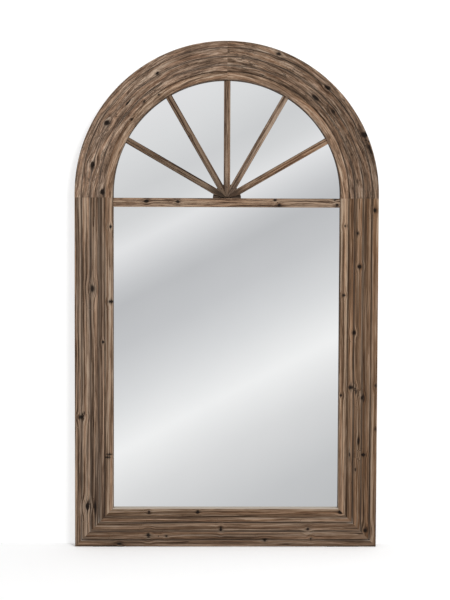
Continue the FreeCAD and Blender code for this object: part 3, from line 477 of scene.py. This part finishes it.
def spoke_piece(angle):
    """A bar from the fan's centre to the slip, pointed between its neighbours and lapped over the hub."""
    bm = mesh_with_marks()
    out = Vector((math.cos(angle), 0, math.sin(angle)))
    across = Vector((-math.sin(angle), 0, math.cos(angle)))
    centre = Vector((0, BACK, JOINT))
    edges = trace(bm, spoke_outline(), lambda place, depth: centre + across * place - Vector((0, depth, 0)))
    stilt = ARCH_CENTRE - JOINT
    reach = stilt * out.z + math.sqrt(SIGHT ** 2 - (stilt * out.x) ** 2) + HOUSED
    steps = round(reach / ALONG_STEP)
    sweep(bm, edges, steps, step=out * (reach / steps))
    # The spokes are darkened towards their tips.
    dirt_and_shade = bm.verts.layers.float["dirt_and_shade"]
    for vert in bm.verts:
        along = (vert.co - centre).dot(out)
        vert[dirt_and_shade] = max(vert[dirt_and_shade], TIP_DARKENING * (1 - (along / TIP_DARKENING_REACH) ** 2))
        if along < HUB_RADIUS + OVERRUN and vert.co.y > BACK - HUB_FRONT:
            vert.co.y = BACK - HUB_FRONT
    for turn in (-1, 1):
        edge_angle = angle + turn * SPOKE_STEP / 2
        normal = Vector((-math.sin(edge_angle), 0, math.cos(edge_angle))) * turn
        trim(bm, centre - normal * SPOKE_GAP, normal)
    trim(bm, centre + out * SPOKE_TIP, -out)
    close(bm)
    return bm


def hub_piece():
    """A half-round block with an eased front edge."""
    bm = mesh_with_marks()
    profile = [(0, GLASS_FRONT, 0, 0), (HUB_RADIUS, GLASS_FRONT, 0, 1),
               (HUB_RADIUS, HUB_FRONT - HUB_EASE, 0, 1), (HUB_RADIUS - HUB_EASE, HUB_FRONT, 0, 1),
               (0, HUB_FRONT, 0, 0)]
    points = outline(profile, [0, HUB_RADIUS])
    edges = trace(bm, points, lambda place, depth: Vector((place, BACK - depth, JOINT)))
    sweep(bm, edges, round(math.pi * HUB_RADIUS / ALONG_STEP), angle=-math.pi, centre=(0, 0, JOINT))
    close(bm)
    return bm


def fill(tree, socket, value):
    """Links a socket to another node's output, or gives it a plain value."""
    if isinstance(value, bpy.types.NodeSocket):
        tree.links.new(value, socket)
    else:
        socket.default_value = value


def place_node(tree, kind, settings=None, **inputs):
    """Adds a node, sets its own settings, and fills or links its sockets by name."""
    node = tree.nodes.new(kind)
    for name, value in (settings or {}).items():
        setattr(node, name, value)
    for name, value in inputs.items():
        fill(tree, node.inputs[name.replace("_", " ")], value)
    return node


def calc(tree, operation, first, second=0.0):
    """A sum, product or other reckoning of two values."""
    node = place_node(tree, "ShaderNodeMath", {"operation": operation})
    fill(tree, node.inputs[0], first)
    fill(tree, node.inputs[1], second)
    return node.outputs[0]


def ease(tree, value, low, high, to_low=0.0, to_high=1.0):
    """Takes a value from one range to another, smoothly and without passing the ends."""
    node = place_node(tree, "ShaderNodeMapRange", {"interpolation_type": "SMOOTHSTEP"}, Value=value)
    for name, end in (("From Min", low), ("From Max", high), ("To Min", to_low), ("To Max", to_high)):
        fill(tree, node.inputs[name], end)
    return node.outputs[0]


def blend(tree, share, first, second, mode="MIX"):
    """Mixes two colours."""
    node = place_node(tree, "ShaderNodeMix", {"data_type": "RGBA", "blend_type": mode})
    fill(tree, node.inputs[0], share)
    fill(tree, node.inputs[6], first)
    fill(tree, node.inputs[7], second)
    return node.outputs[2]


def stretched_noise(tree, vector, scale, detail, roughness=0.55):
    """Noise drawn out by a scale of its own along each axis."""
    mapping = place_node(tree, "ShaderNodeMapping", Vector=vector, Scale=scale)
    texture = place_node(tree, "ShaderNodeTexNoise", Vector=mapping.outputs[0], Scale=1.0, Detail=detail,
                         Roughness=roughness)
    return texture.outputs[0]


def ramp(tree, value, stops):
    """Colours along a value, each given with its place."""
    node = place_node(tree, "ShaderNodeValToRGB", Fac=value)
    elements = node.color_ramp.elements
    while len(elements) < len(stops):
        elements.new(1.0)
    for element, (place, colour) in zip(elements, stops):
        element.position = place
        element.color = (*colour, 1.0)
    return node.outputs[0]


def new_group(name, inputs, outputs):
    """An empty shader group with named values in and out."""
    tree = bpy.data.node_groups.new(name, "ShaderNodeTree")
    for socket, (kind, value) in inputs.items():
        made = tree.interface.new_socket(socket, in_out="INPUT", socket_type=kind)
        if value is not None:
            made.default_value = value
    for socket in outputs:
        tree.interface.new_socket(socket, in_out="OUTPUT", socket_type="NodeSocketFloat")
    return tree, tree.nodes.new("NodeGroupInput").outputs, tree.nodes.new("NodeGroupOutput").inputs


def use_group(tree, group, **inputs):
    """Places a shader group with its own values and gives back its outputs."""
    node = place_node(tree, "ShaderNodeGroup", {"node_tree": group}, **inputs)
    return node.outputs


def new_material(name, **sockets):
    """A material with a principled shader; plain values go straight on the shader's own sockets."""
    material = bpy.data.materials.new(name)
    material.use_nodes = True
    tree = material.node_tree
    shader = tree.nodes["Principled BSDF"]
    for socket, value in sockets.items():
        shader.inputs[socket.replace("_", " ")].default_value = value
    return material, tree, shader.inputs


def bump(tree, height, strength, distance):
    """A normal that follows a height over the surface."""
    node = place_node(tree, "ShaderNodeBump", Strength=strength, Distance=distance, Height=height)
    return node.outputs[0]


def attribute(tree, name, output):
    """A value that the mesh keeps for each of its points."""
    return place_node(tree, "ShaderNodeAttribute", {"attribute_name": name}).outputs[output]


def weighed(tree, layers):
    """The sum of several noises about their middle, each with its weight."""
    total = 0.0
    for layer, weight in layers:
        part = calc(tree, "MULTIPLY", calc(tree, "SUBTRACT", layer, 0.5), weight)
        total = calc(tree, "ADD", part, total)
    return total


def bent_grain(tree, knot):
    """The grain of a piece, wavering and parting round its knots, with the knots' reach and tails."""
    grain = attribute(tree, "grain", "Vector")
    axis = place_node(tree, "ShaderNodeSeparateXYZ", Vector=knot).outputs
    flat = place_node(tree, "ShaderNodeCombineXYZ", X=axis["X"], Y=axis["Y"]).outputs[0]
    reach = place_node(tree, "ShaderNodeVectorMath", {"operation": "LENGTH"}, Vector=flat).outputs["Value"]
    spread = calc(tree, "POWER", calc(tree, "DIVIDE", reach, KNOT_SPREAD), 2.0)
    spread = calc(tree, "ADD", spread, 1.0)
    parted = calc(tree, "DIVIDE", calc(tree, "MULTIPLY", axis["Y"], axis["Z"]), spread)
    parted = calc(tree, "MULTIPLY", parted, ease(tree, reach, 1.5, 0.95 * KNOT_REACH, 1.0, 0.0))
    waver = weighed(tree, ((stretched_noise(tree, grain, (2.6, 7, 7), 2), GRAIN_WAVER),))
    shift = place_node(tree, "ShaderNodeCombineXYZ", Y=calc(tree, "SUBTRACT", waver, parted)).outputs[0]
    bent = place_node(tree, "ShaderNodeVectorMath", {"operation": "ADD"})
    fill(tree, bent.inputs[0], grain)
    fill(tree, bent.inputs[1], shift)
    narrow = ease(tree, calc(tree, "ABSOLUTE", axis["Y"]), 0.1, 0.6, 1.0, 0.0)
    tail = calc(tree, "MULTIPLY", narrow, ease(tree, calc(tree, "ABSOLUTE", axis["X"]), 0.8, 3.5, 1.0, 0.0))
    return bent.outputs[0], reach, tail


def split_mask(tree, grain, fleck, amount):
    """Open splits along the grain, and charred flecks as a board has them."""
    split = ease(tree, stretched_noise(tree, grain, (2.2, 190, 140), 3, 0.6), 0.58, 0.68)
    charred = ease(tree, stretched_noise(tree, grain, (4, 26, 24), 2), 0.42, 0.62)
    charred = calc(tree, "MULTIPLY", charred, ease(tree, fleck, 0.46, 0.62))
    charred = calc(tree, "MULTIPLY", charred, attribute(tree, "char", "Fac"))
    return calc(tree, "MULTIPLY", calc(tree, "MAXIMUM", split, charred), amount)


def knot_masks(tree, reach, tail, rough_edge, fleck):
    """The ragged hearts of the knots, and the darker wood round them and along their tails."""
    rough_edge = calc(tree, "MULTIPLY", rough_edge, ease(tree, reach, 0.0, 1.0, 0.2, 1.0))
    ragged = calc(tree, "ADD", reach, rough_edge)
    heart = ease(tree, ragged, 0.50, 1.40, 1.0, 0.0)
    heart = calc(tree, "MULTIPLY", heart, ease(tree, fleck, 0.42, 0.66, 1.0, 0.93))
    ring = ease(tree, ragged, 0.9, 2.4, 0.45, 0.0)
    return heart, calc(tree, "MAXIMUM", ring, calc(tree, "MULTIPLY", tail, 0.7))


def aged_wood_group():
    """Streaks, fibres, splits, knots, stains, darker grooves, painted shade, scuffs and a painted highlight
    of old softwood, read from a piece's own marks.
    """
    tree, given, result = new_group(
        "aged_wood", {"Splits": ("NodeSocketFloat", 1.0), "Soil": ("NodeSocketFloat", 1.0)},
        ("Tone", "Red", "Grey", "Dark", "Pale", "Knot", "Relief"))
    grain, reach, tail = bent_grain(tree, attribute(tree, "knot", "Vector"))
    band = ease(tree, stretched_noise(tree, grain, (0.8, 80, 60), 2), 0.43, 0.57)
    broad = stretched_noise(tree, grain, (1.6, 42, 34), 2)
    middle = stretched_noise(tree, grain, (3.0, 150, 110), 3, 0.6)
    fine = stretched_noise(tree, grain, (9, 430, 300), 3)
    fibre = stretched_noise(tree, grain, (45, 1700, 1200), 2)
    growth = calc(tree, "MULTIPLY", stretched_noise(tree, grain, (0.9, 24, 18), 2), 11.0)
    growth_line = calc(tree, "POWER", calc(tree, "FRACT", growth), 3.0)
    fleck = stretched_noise(tree, grain, (26, 260, 200), 3, 0.6)
    uneven = weighed(tree, ((band, 0.28), (broad, 0.8), (middle, 2.9), (fine, 2.2), (fibre, 0.8),
                            (fleck, 1.4), (growth_line, -0.4)))
    uneven = calc(tree, "MULTIPLY", uneven, attribute(tree, "bold", "Fac"))
    tone = calc(tree, "ADD", uneven, MIDDLE_TONE)
    red = ease(tree, stretched_noise(tree, grain, (2.1, 95, 70), 3), 0.47, 0.62)
    grey = ease(tree, stretched_noise(tree, grain, (1.7, 75, 55), 3), 0.50, 0.66)
    split = split_mask(tree, grain, fleck, given["Splits"])
    come_and_go = ease(tree, stretched_noise(tree, grain, (3, 60, 60), 3), 0.36, 0.58)
    # The darkening is stains, darker grooves and spoke tips, and painted shade at the slips' inner edges.
    darkening = calc(tree, "MULTIPLY", attribute(tree, "dirt_and_shade", "Fac"), given["Soil"])
    darkening = calc(tree, "MULTIPLY", darkening, calc(tree, "ADD", calc(tree, "MULTIPLY", come_and_go, 0.6), 0.4))
    rough_edge = weighed(tree, ((fine, 2.2), (middle, 1.4), (fleck, 1.8)))
    heart, halo = knot_masks(tree, reach, tail, rough_edge, fleck)
    dark = calc(tree, "MAXIMUM", calc(tree, "MAXIMUM", split, darkening), halo)
    dark = calc(tree, "MINIMUM", dark, DARKEST)
    # Paler at arrises and scuffs, with a painted highlight on the bottom slip's inner face.
    edge = attribute(tree, "pale", "Fac")
    rubbed = calc(tree, "MULTIPLY", attribute(tree, "scuff", "Fac"), edge)
    rubbed = calc(tree, "MULTIPLY", calc(tree, "MULTIPLY", rubbed, come_and_go), RUBBED_SHARE)
    pale = calc(tree, "ADD", edge, rubbed)
    sunk = calc(tree, "MULTIPLY", calc(tree, "MAXIMUM", split, heart), SUNK_SHARE)
    height = weighed(tree, ((middle, 0.5), (fine, 0.7), (fibre, 0.25)))
    height = calc(tree, "SUBTRACT", height, sunk)
    for name, value in (("Tone", tone), ("Red", red), ("Grey", grey), ("Dark", dark), ("Pale", pale),
                        ("Knot", heart), ("Relief", height)):
        tree.links.new(value, result[name])
    return tree


def wood_material(name, tones, splits=0.9, dirt_and_shade=0.95):
    """Old softwood: a run of tones along the grain, darkened by stains, grooves, splits, knots and painted
    shade, and made pale at scuffs and arrises and by a painted highlight.
    """
    material, tree, shader = new_material(name, Specular_IOR_Level=0.1)
    pattern = use_group(tree, WOOD_PATTERN, Splits=splits, Soil=dirt_and_shade)
    colour = ramp(tree, pattern["Tone"], tones)
    for streak, share, tint in (("Red", RED_SHARE, RED_TINT), ("Grey", GREY_SHARE, GREY_TINT)):
        tinted = blend(tree, 1.0, colour, (*tint, 1.0), "MULTIPLY")
        colour = blend(tree, calc(tree, "MULTIPLY", pattern[streak], share), colour, tinted)
    # Splits, knot rims, stains, darker grooves and painted shade darken the colour; scuffs, arrises and a
    # painted highlight make it pale.
    colour = blend(tree, pattern["Dark"], colour, (*DIRT_AND_SHADE_COLOUR, 1.0))
    colour = blend(tree, pattern["Pale"], colour, (*PALE_COLOUR, 1.0))
    colour = place_node(tree, "ShaderNodeHueSaturation", Saturation=attribute(tree, "warm", "Fac"),
                        Value=attribute(tree, "light", "Fac"), Color=colour).outputs[0]
    colour = blend(tree, pattern["Knot"], colour, (*KNOT_COLOUR, 1.0))
    tree.links.new(colour, shader["Base Color"])
    tree.links.new(ease(tree, pattern["Tone"], 0.2, 0.8, 0.82, 0.62), shader["Roughness"])
    tree.links.new(bump(tree, pattern["Relief"], 0.5, FIBRE_HEIGHT), shader["Normal"])
    return material


def mottle_group():
    """Broad patches and fine specks in the object's own space, for the plainer finishes."""
    tree, given, result = new_group(
        "mottle",
        {"Patch Scale": ("NodeSocketFloat", 8.0), "Speck Scale": ("NodeSocketFloat", 400.0)},
        ("Patches", "Specks"))
    place = place_node(tree, "ShaderNodeTexCoord").outputs["Object"]
    for scale, detail, out in (("Patch Scale", 4.0, "Patches"), ("Speck Scale", 2.0, "Specks")):
        texture = place_node(tree, "ShaderNodeTexNoise", Vector=place, Scale=given[scale], Detail=detail)
        tree.links.new(ease(tree, texture.outputs[0], 0.3, 0.7), result[out])
    return tree


def plain_material(name, dark, light, rough, relief, patch=8.0, speck=400.0, specks=0.4, **sockets):
    """A finish that varies a little in colour, gloss and surface."""
    material, tree, shader = new_material(name, **sockets)
    pattern = use_group(tree, MOTTLE, Patch_Scale=patch, Speck_Scale=speck)
    fine = calc(tree, "MULTIPLY", pattern["Specks"], specks)
    share = calc(tree, "ADD", calc(tree, "MULTIPLY", pattern["Patches"], 1 - specks), fine)
    tree.links.new(blend(tree, share, (*dark, 1.0), (*light, 1.0)), shader["Base Color"])
    tree.links.new(ease(tree, share, 0.0, 1.0, *rough), shader["Roughness"])
    tree.links.new(bump(tree, pattern["Specks"], relief, SPECK_HEIGHT), shader["Normal"])
    return material


# The finishes. Each wood is a run of tones, dark to light; the rest go from a dark to a light colour.
KNOT_SPREAD = 1.8
GRAIN_WAVER = 0.016
MIDDLE_TONE = 0.47
DARKEST = 0.95
RUBBED_SHARE = 5.0
SUNK_SHARE = 0.6
FIBRE_HEIGHT = 0.0012
SPECK_HEIGHT = 0.0004
KNOT_COLOUR = (0.012, 0.008, 0.006)
# The colour that stains, darker grooves and painted shade go towards, then the colour of scuffs, arrises and
# a painted highlight.
DIRT_AND_SHADE_COLOUR = (0.048, 0.032, 0.023)
PALE_COLOUR = (0.660, 0.580, 0.500)
RED_SHARE, RED_TINT = 0.45, (1.07, 0.87, 0.75)
GREY_SHARE, GREY_TINT = 0.28, (0.86, 1.0, 1.14)
WOOD_PATTERN = aged_wood_group()
MOTTLE = mottle_group()
REEDED_TIMBER = wood_material(
    "reeded_timber",
    ((0.0, (0.040, 0.025, 0.017)), (0.36, (0.130, 0.085, 0.058)), (0.60, (0.195, 0.131, 0.091)),
     (0.85, (0.280, 0.200, 0.145)), (1.0, (0.375, 0.287, 0.218))))
SLIP_TIMBER = wood_material(
    "slip_timber",
    ((0.0, (0.070, 0.045, 0.030)), (0.36, (0.155, 0.101, 0.068)), (0.60, (0.225, 0.152, 0.105)),
     (0.85, (0.315, 0.226, 0.162)), (1.0, (0.400, 0.306, 0.230))), splits=0.5, dirt_and_shade=0.7)
FAN_TIMBER = wood_material(
    "fan_timber",
    ((0.0, (0.045, 0.029, 0.020)), (0.36, (0.125, 0.081, 0.055)), (0.60, (0.190, 0.128, 0.088)),
     (0.90, (0.290, 0.211, 0.152))), splits=0.7, dirt_and_shade=0.85)
# The hub is near black: darker wood with painted shade for its sunken face at the fan's centre.
HUB_TIMBER_WITH_SHADE = wood_material(
    "hub_timber",
    ((0.10, (0.022, 0.015, 0.011)), (0.50, (0.050, 0.034, 0.025)), (0.90, (0.100, 0.072, 0.054))))
MIRROR_GLASS = plain_material(
    "mirror_glass", (0.915, 0.925, 0.928), (0.935, 0.943, 0.945), (0.012, 0.030), 0.004, patch=3.0,
    specks=0.1, Metallic=1.0)
BACK_BOARD = plain_material(
    "back_board", (0.220, 0.146, 0.088), (0.285, 0.194, 0.121), (0.90, 0.72), 0.25, patch=9.0, speck=500.0,
    specks=0.6)
FOAM_TAPE = plain_material(
    "foam_tape", (0.66, 0.66, 0.63), (0.78, 0.78, 0.75), (0.95, 0.85), 0.5, speck=1500.0)
BLACK_RUBBER = plain_material(
    "black_rubber", (0.018, 0.018, 0.019), (0.042, 0.042, 0.043), (0.80, 0.62), 0.3, patch=30.0, speck=900.0)
PLATE_STEEL = plain_material(
    "plate_steel", (0.42, 0.42, 0.41), (0.62, 0.62, 0.61), (0.50, 0.30), 0.08, patch=60.0, speck=300.0,
    Metallic=1.0)
SCREW_STEEL = plain_material(
    "screw_steel", (0.48, 0.42, 0.28), (0.66, 0.61, 0.46), (0.45, 0.28), 0.05, patch=90.0, Metallic=1.0)
RING_STEEL = plain_material(
    "ring_steel", (0.50, 0.50, 0.49), (0.66, 0.66, 0.65), (0.36, 0.22), 0.04, patch=70.0, Metallic=1.0)
NAIL_IRON = plain_material(
    "nail_iron", (0.030, 0.024, 0.021), (0.095, 0.056, 0.036), (0.85, 0.60), 0.3, patch=300.0, Metallic=0.6)
KEY_TIMBER = plain_material(
    "key_timber", (0.42, 0.29, 0.17), (0.56, 0.41, 0.26), (0.85, 0.70), 0.2, patch=40.0)

FINISHES = {
    "reeded_timber": REEDED_TIMBER, "slip_timber": SLIP_TIMBER, "fan_timber": FAN_TIMBER,
    "hub_timber": HUB_TIMBER_WITH_SHADE, "mirror_glass": MIRROR_GLASS, "back_board": BACK_BOARD, "foam_tape": FOAM_TAPE,
    "black_rubber": BLACK_RUBBER, "plate_steel": PLATE_STEEL, "screw_steel": SCREW_STEEL,
    "ring_steel": RING_STEEL, "nail_iron": NAIL_IRON, "key_timber": KEY_TIMBER,
}


def dress_solids():
    """Gives every solid of the frame the finish of its slot."""
    for part in frame["record"]["subparts"]:
        mesh = frame["nodes"][part["node"]].data
        mesh.materials.clear()
        mesh.materials.append(FINISHES[part["material_slot"]])


def make_timber():
    """Builds every wooden piece of the front; each board has its own stretch of grain."""
    up, level = (0, 0, 1), (1, 0, 0)
    for side in (-1, 1):
        slanted = (-side, 0, 1)
        odd = side + 1
        stains = LEFT_STAINS if side < 0 else ()
        timber(upright_piece(board_outline(stains=stains), side), side_name(side, "stile"), up, 1 + odd,
               "reeded_timber")
        timber(arched_piece(board_outline(dirt_and_shade=ARCH_DARKENING), side), side_name(side, "arch"), slanted, 5 + odd,
               "reeded_timber", head_grain)
        timber(upright_piece(slip_outline(edge_shade=SLIP_EDGE_SHADE), side), side_name(side, "slip"), up,
               9 + odd, "slip_timber")
        timber(arched_piece(slip_outline(edge_shade=ARCH_SLIP_EDGE_SHADE), side), side_name(side, "arch_slip"),
               slanted, 13 + odd, "slip_timber", head_grain)
    timber(lying_piece(board_outline()), "bottom_rail", level, 17, "reeded_timber")
    timber(lying_piece(slip_outline(edge_highlight=BOTTOM_EDGE_HIGHLIGHT)), "bottom_slip", level, 18, "slip_timber")
    timber(transom_piece(), "transom_bar", level, 19, "fan_timber")
    for place, spoke in enumerate(SPOKES, start=1):
        angle = place * SPOKE_STEP
        timber(spoke_piece(angle), spoke, (math.cos(angle), 0, math.sin(angle)), 19 + place, "fan_timber")
    timber(hub_piece(), "fan_hub", level, 26, "hub_timber")


# The studio: a pale floor and wall, an even light all round and one soft lamp from the upper right.
WALL_GAP = 0.001
STAGE_SIZE = 14.0
WALL_COLOUR, WALL_GLOW = 0.45, 0.62
FLOOR_COLOUR, FLOOR_GLOW = 0.95, 0.16
FADE_OUT = (1.5, 5.0)
FADE_GLOW = 0.4
BAND_SLOPE = math.radians(27.5)
BAND_LOW, BAND_HIGH = -0.245, 0.122
BANDS = ((0.0, (0.52, 0.525, 0.535)), (0.12, (0.585, 0.59, 0.60)), (0.25, (0.74, 0.74, 0.745)),
         (0.355, (0.93, 0.93, 0.93)), (0.46, (0.735, 0.74, 0.75)), (0.56, (0.595, 0.60, 0.615)),
         (0.645, (0.535, 0.54, 0.555)), (0.68, (0.60, 0.605, 0.62)), (0.755, (0.82, 0.82, 0.83)),
         (0.807, (0.70, 0.705, 0.712)), (0.858, (0.655, 0.66, 0.67)), (0.935, (0.735, 0.74, 0.747)),
         (1.0, (0.785, 0.785, 0.795)))
AMBIENT = 0.62
LAMP_PLACE = Vector((2.2, -4.3, 4.2))
LAMP_AIM = Vector((0, 0, 1.0))
LAMP_SIZE = 1.7
LAMP_POWER = 190
LENS = 72.0
SENSOR = 36.0
CAMERA_PLACE = (-0.0685, -4.845, 1.210)
CAMERA_TURN = (math.radians(90 - 2.47), math.radians(-0.21), math.radians(-0.73))


def stage_material(name, shade, brightness):
    """Pale paper that keeps shadows; mirrors and metal look through it to the studio's soft bands."""
    material = bpy.data.materials.new(name)
    material.use_nodes = True
    tree = material.node_tree
    tree.nodes.clear()
    path = place_node(tree, "ShaderNodeLightPath").outputs
    behind = place_node(tree, "ShaderNodeNewGeometry").outputs["Backfacing"]
    paper = place_node(tree, "ShaderNodeBsdfDiffuse", Color=(shade, shade, shade, 1.0))
    spot = place_node(tree, "ShaderNodeTexCoord").outputs["Object"]
    far = place_node(tree, "ShaderNodeVectorMath", {"operation": "LENGTH"}, Vector=spot).outputs["Value"]
    strength = ease(tree, far, *FADE_OUT, brightness, brightness + FADE_GLOW)
    strength = calc(tree, "MULTIPLY", path["Is Camera Ray"], strength)
    glow = place_node(tree, "ShaderNodeEmission", Strength=strength)
    lit = tree.nodes.new("ShaderNodeAddShader")
    tree.links.new(paper.outputs[0], lit.inputs[0])
    tree.links.new(glow.outputs[0], lit.inputs[1])
    mirrored = calc(tree, "MAXIMUM", path["Is Glossy Ray"], path["Is Transmission Ray"])
    clear = tree.nodes.new("ShaderNodeBsdfTransparent")
    either = place_node(tree, "ShaderNodeMixShader", Fac=calc(tree, "MAXIMUM", mirrored, behind))
    tree.links.new(lit.outputs[0], either.inputs[1])
    tree.links.new(clear.outputs[0], either.inputs[2])
    out = tree.nodes.new("ShaderNodeOutputMaterial")
    tree.links.new(either.outputs[0], out.inputs["Surface"])
    return material


def stage_plane(name, material):
    """A wide flat sheet that belongs to the studio and not to the mirror."""
    bm = bmesh.new()
    bmesh.ops.create_grid(bm, x_segments=1, y_segments=1, size=STAGE_SIZE)
    mesh = bpy.data.meshes.new(name)
    bm.to_mesh(mesh)
    bm.free()
    mesh.materials.append(material)
    plane = bpy.data.objects.new(name, mesh)
    bpy.context.scene.collection.objects.link(plane)
    return plane


def make_stage():
    """The floor, and a wall just behind the mirror that only the camera sees."""
    stage_plane("floor", stage_material("floor_paper", FLOOR_COLOUR, FLOOR_GLOW))
    wall = stage_plane("wall", stage_material("wall_paper", WALL_COLOUR, WALL_GLOW))
    wall.rotation_euler = (math.pi / 2, 0, 0)
    wall.location = (0, cad_high.y + WALL_GAP, 0)
    wall.visible_diffuse = False
    wall.visible_glossy = False
    wall.visible_transmission = False
    wall.visible_shadow = False


def make_world():
    """White to the camera, soft diagonal bands in mirrors and metal, an even light for the rest."""
    world = bpy.data.worlds.new("studio")
    bpy.context.scene.world = world
    world.use_nodes = True
    tree = world.node_tree
    tree.nodes.clear()
    path = place_node(tree, "ShaderNodeLightPath").outputs
    direction = place_node(tree, "ShaderNodeTexCoord").outputs["Generated"]
    axis = place_node(tree, "ShaderNodeSeparateXYZ", Vector=direction).outputs
    height = calc(tree, "SUBTRACT", calc(tree, "MULTIPLY", axis["Z"], math.cos(BAND_SLOPE)),
                  calc(tree, "MULTIPLY", axis["X"], math.sin(BAND_SLOPE)))
    share = calc(tree, "DIVIDE", calc(tree, "SUBTRACT", height, BAND_LOW), BAND_HIGH - BAND_LOW)
    bands = ramp(tree, calc(tree, "PINGPONG", share, 1.0), BANDS)
    mirrored = calc(tree, "MAXIMUM", path["Is Glossy Ray"], path["Is Transmission Ray"])
    colour = blend(tree, mirrored, (AMBIENT, AMBIENT, AMBIENT, 1.0), bands)
    colour = blend(tree, path["Is Camera Ray"], colour, (1.0, 1.0, 1.0, 1.0))
    background = place_node(tree, "ShaderNodeBackground", Color=colour)
    out = tree.nodes.new("ShaderNodeOutputWorld")
    tree.links.new(background.outputs[0], out.inputs["Surface"])


def make_lamp():
    """A soft lamp that mirrors and metal don't show."""
    lamp = bpy.data.lights.new("key_lamp", "AREA")
    lamp.shape = "DISK"
    lamp.size = LAMP_SIZE
    lamp.energy = LAMP_POWER
    holder = bpy.data.objects.new("key_lamp", lamp)
    holder.location = LAMP_PLACE
    holder.rotation_euler = (LAMP_AIM - LAMP_PLACE).to_track_quat("-Z", "Y").to_euler()
    holder.visible_glossy = False
    bpy.context.scene.collection.objects.link(holder)


def make_camera():
    """A long lens a little above the middle, looking slightly down and to the right."""
    camera = bpy.data.cameras.new("camera")
    camera.lens = LENS
    camera.sensor_width = SENSOR
    holder = bpy.data.objects.new("camera", camera)
    holder.location = CAMERA_PLACE
    holder.rotation_euler = CAMERA_TURN
    bpy.context.scene.collection.objects.link(holder)
    bpy.context.scene.camera = holder


dress_solids()
make_timber()
make_stage()
make_world()
make_lamp()
make_camera()
bpy.context.scene.view_settings.view_transform = "Standard"
